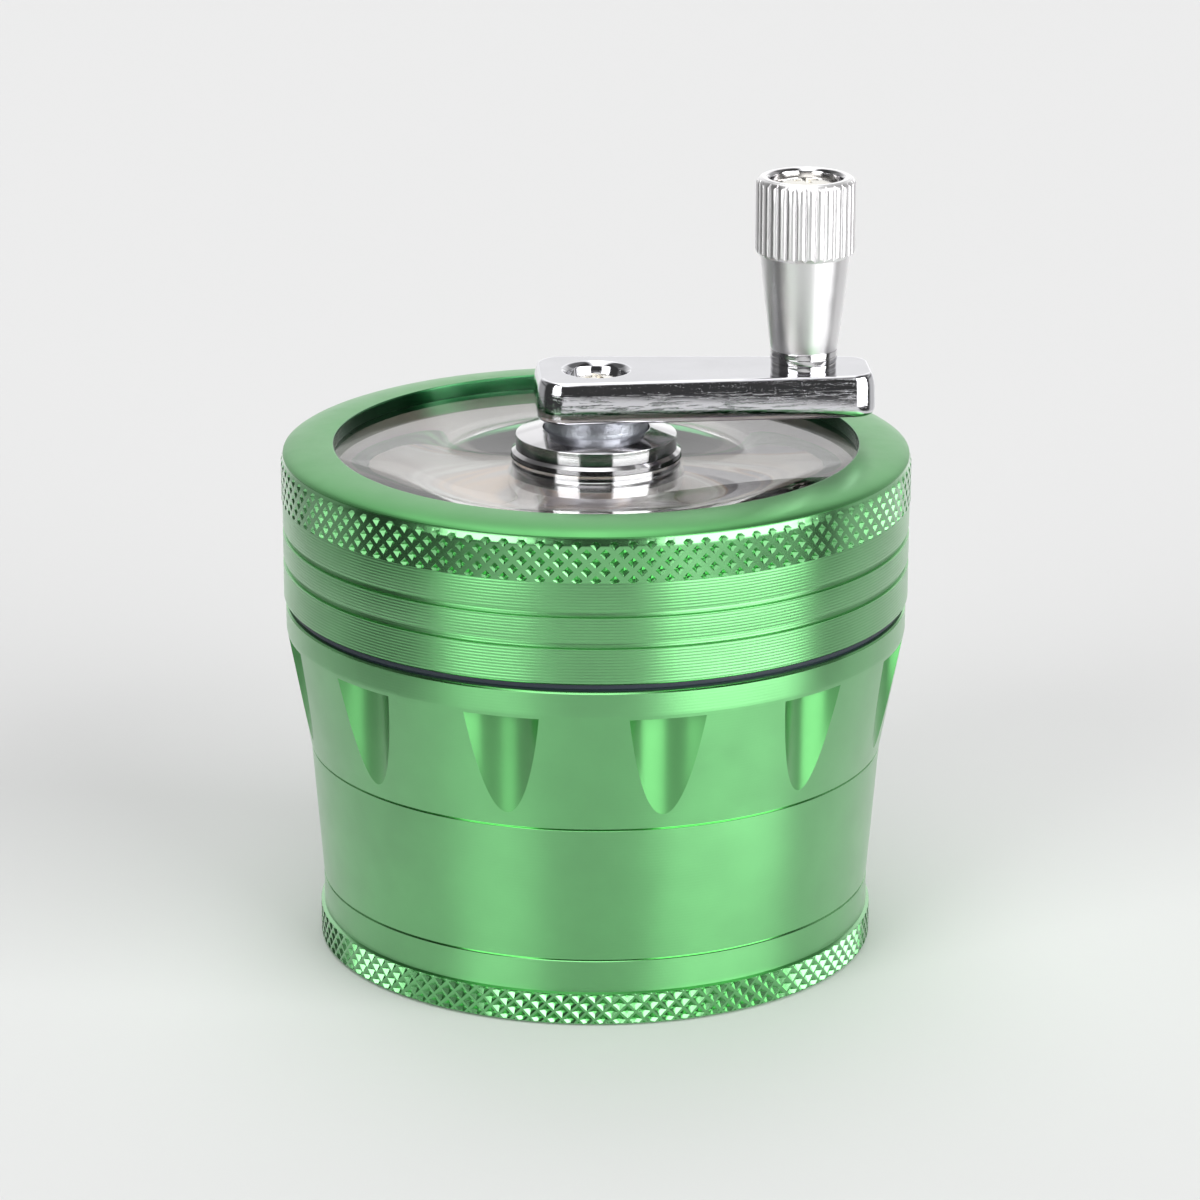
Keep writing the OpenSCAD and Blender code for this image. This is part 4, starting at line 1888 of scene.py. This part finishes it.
@dataclass
class Studio:
    """Pale table, soft boxes painted into the world, and the camera."""

    camera_at: Vector = Vector((0.0, -0.4815, 0.1853))
    pitch: float = 17.353
    roll: float = 0.129
    lens: float = 149.885
    sensor: float = 36.0
    shift: float = 0.0035
    clip: tuple[float, float] = (0.01, 20.0)
    table: str = "#dedede"
    table_half: float = 3000.0
    table_gap: float = 0.02
    sheet: tuple[float, float] = (0.12, 0.60)
    backdrop: str = "#ebebeb"
    right_box: Light = Light(24, 80, -12, 40, 4.8)
    left_box: Light = Light(-56, -24, 0, 40, 4.2)
    overhead: float = 2.1
    wall_foot: float = 0.55
    wall_band: float = 0.32
    wall: float = 0.14
    pool: float = 0.62
    pool_middle: float = 0.2
    ambient: float = 0.05

    def build(self) -> None:
        """Builds everything that isn't part of the object."""
        self.build_floor()
        self.build_world()
        self.build_camera()
        view = bpy.context.scene.view_settings
        view.view_transform = "Standard"
        view.look = "None"

    def build_floor(self) -> None:
        """Lays a sheet of matt board."""
        shape = bmesh.new()
        bmesh.ops.create_grid(shape, x_segments=8, y_segments=8, size=self.table_half)
        floor = finish_mesh("table_board", shape, [])
        floor.data.materials.append(self.board())
        floor.location.z = -self.table_gap * MM

    def board(self) -> Material:
        """Matt board; a mirror sees only its near part, as if the sheet were small.

        Returns:
            The material.
        """
        made = bpy.data.materials.new("board_matt_white")
        made.use_nodes = True
        tree = made.node_tree
        tree.nodes.clear()
        place = add(tree, "ShaderNodeTexCoord").outputs["Object"]
        fibre = add(tree, "ShaderNodeTexNoise", {"Vector": place, "Scale": 1 / (2.5 * MM), "Detail": 4.0})
        bump = add(tree, "ShaderNodeBump", {
            "Height": fibre.outputs["Fac"],
            "Strength": 1.0,
            "Distance": 0.02 * MM,
        })
        matt = add(tree, "ShaderNodeBsdfDiffuse", {
            "Color": linear(self.table),
            "Normal": bump.outputs["Normal"],
        })
        wide, deep = self.sheet
        share = add(tree, "ShaderNodeMapping", {"Vector": place, "Scale": (1 / wide, 1 / deep, 1.0)})
        far = add(tree, "ShaderNodeVectorMath", {0: share.outputs["Vector"]}, operation="LENGTH")
        edge = add(tree, "ShaderNodeMapRange", {
            "Value": far.outputs["Value"],
            "From Min": 0.9,
            "From Max": 1.1,
        }, interpolation_type="SMOOTHSTEP")
        ray = add(tree, "ShaderNodeLightPath")
        gone = add(tree, "ShaderNodeMath", {
            0: edge.outputs["Result"],
            1: ray.outputs["Is Glossy Ray"],
        }, operation="MULTIPLY")
        clear = add(tree, "ShaderNodeBsdfTransparent")
        mix = add(tree, "ShaderNodeMixShader", {
            0: gone.outputs["Value"],
            1: matt.outputs["BSDF"],
            2: clear.outputs["BSDF"],
        })
        add(tree, "ShaderNodeOutputMaterial", {"Surface": mix.outputs["Shader"]})
        return made

    def build_world(self) -> None:
        """Paints the room: a pale wall behind, two soft boxes in front, dark between and beside them."""
        world = bpy.data.worlds.new("studio_room")
        bpy.context.scene.world = world
        world.use_nodes = True
        tree = world.node_tree
        tree.nodes.clear()
        way = add(tree, "ShaderNodeTexCoord").outputs["Generated"]
        axis = add(tree, "ShaderNodeSeparateXYZ", {"Vector": way})
        front = add(tree, "ShaderNodeMath", {0: axis.outputs["Y"], 1: -1.0}, operation="MULTIPLY")
        bearing = add(tree, "ShaderNodeMath", {
            0: axis.outputs["X"],
            1: front.outputs["Value"],
        }, operation="ARCTAN2")
        side = bearing.outputs["Value"]
        rise = add(tree, "ShaderNodeMath", {0: axis.outputs["Z"]}, operation="ARCSINE").outputs["Value"]
        turn = add(tree, "ShaderNodeMath", {0: side}, operation="ABSOLUTE").outputs["Value"]

        def window(value: Socket, low: float, high: float, soft: float) -> Socket:
            """Makes a mask with soft edges.

            Args:
                value: an angle in radians, or a direction's component, which counts as one.
                low: where the mask starts, in degrees.
                high: where it ends.
                soft: width of each soft edge.

            Returns:
                1 between the two angles, 0 outside.
            """
            low, high, soft = (math.radians(x) for x in (low, high, soft / 2))
            ends = []
            for outside, inside in ((low - soft, low + soft), (high + soft, high - soft)):
                end = add(tree, "ShaderNodeMapRange", {
                    "Value": value,
                    "From Min": outside,
                    "From Max": inside,
                }, interpolation_type="SMOOTHSTEP")
                ends.append(end.outputs["Result"])
            return times(*ends)

        def times(*values: Feed) -> Socket:
            """Multiplies values.

            Args:
                values: sockets or numbers; the first is a socket.

            Returns:
                Their product.
            """
            product = values[0]
            for value in values[1:]:
                step = add(tree, "ShaderNodeMath", {0: product, 1: value}, operation="MULTIPLY")
                product = step.outputs["Value"]
            return product

        def box(light: Light, soft_side: float, soft_rise: float) -> Socket:
            """Paints one soft box.

            Args:
                light: the box.
                soft_side: width of its upright edges, in degrees.
                soft_rise: width of its level edges.

            Returns:
                Its light.
            """
            across = window(side, light.low_side, light.high_side, soft_side)
            upright = window(rise, light.low_rise, light.high_rise, soft_rise)
            return times(across, upright, light.strength)

        lean = add(tree, "ShaderNodeMapRange", {
            "Value": axis.outputs["X"],
            "From Min": -0.5,
            "From Max": 0.5,
            "To Min": 0.5,
            "To Max": 0.85,
        }, interpolation_type="SMOOTHSTEP")
        behind = times(window(turn, 98, 200, 16), lean.outputs["Result"])
        back = times(window(turn, 150, 215, 40), window(rise, -90, 58, 24))
        above = times(
            window(axis.outputs["Z"], 38, 100, 12),
            window(axis.outputs["X"], -20, 11, 14),
            window(axis.outputs["Y"], -100, 36, 22),
        )
        lights = [
            box(self.right_box, 4, 6),
            box(self.left_box, 4, 6),
            times(above, self.overhead),
            times(behind, window(rise, -90, 9, 10), self.wall_foot),
            times(behind, window(rise, 16.05, 34, 0.15), self.wall_band),
            times(behind, self.wall),
            times(back, self.pool),
            times(back, window(rise, 4, 40, 10), self.pool_middle),
        ]
        total: Feed = self.ambient
        for light in lights:
            total = add(tree, "ShaderNodeMath", {0: light, 1: total}, operation="ADD").outputs["Value"]
        room = add(tree, "ShaderNodeBackground", {"Color": linear("#ffffff"), "Strength": total})
        plain = add(tree, "ShaderNodeBackground", {"Color": linear(self.backdrop), "Strength": 1.0})
        ray = add(tree, "ShaderNodeLightPath")
        mix = add(tree, "ShaderNodeMixShader", {
            0: ray.outputs["Is Camera Ray"],
            1: room.outputs["Background"],
            2: plain.outputs["Background"],
        })
        add(tree, "ShaderNodeOutputWorld", {"Surface": mix.outputs["Shader"]})

    def build_camera(self) -> None:
        """Sets up the camera."""
        data = bpy.data.cameras.new("studio_camera")
        data.lens = self.lens
        data.sensor_width = self.sensor
        data.shift_x = self.shift
        data.clip_start, data.clip_end = self.clip
        camera = bpy.data.objects.new("studio_camera", data)
        bpy.context.scene.collection.objects.link(camera)
        tilt = Euler((math.radians(90 - self.pitch), 0, 0)).to_matrix().to_4x4()
        roll = Matrix.Rotation(math.radians(self.roll), 4, "Z")
        camera.matrix_world = Matrix.Translation(self.camera_at) @ tilt @ roll
        bpy.context.scene.camera = camera


def main() -> None:
    """Builds the studio and every section in order."""
    logging.basicConfig(level=logging.INFO, format="%(name)s %(message)s")
    Studio().build()
    for section in (PollenCup(), StorageChamber(), GrindingChamber(), Lid(), Crank()):
        section.build()


if __name__ == "__main__":
    main()
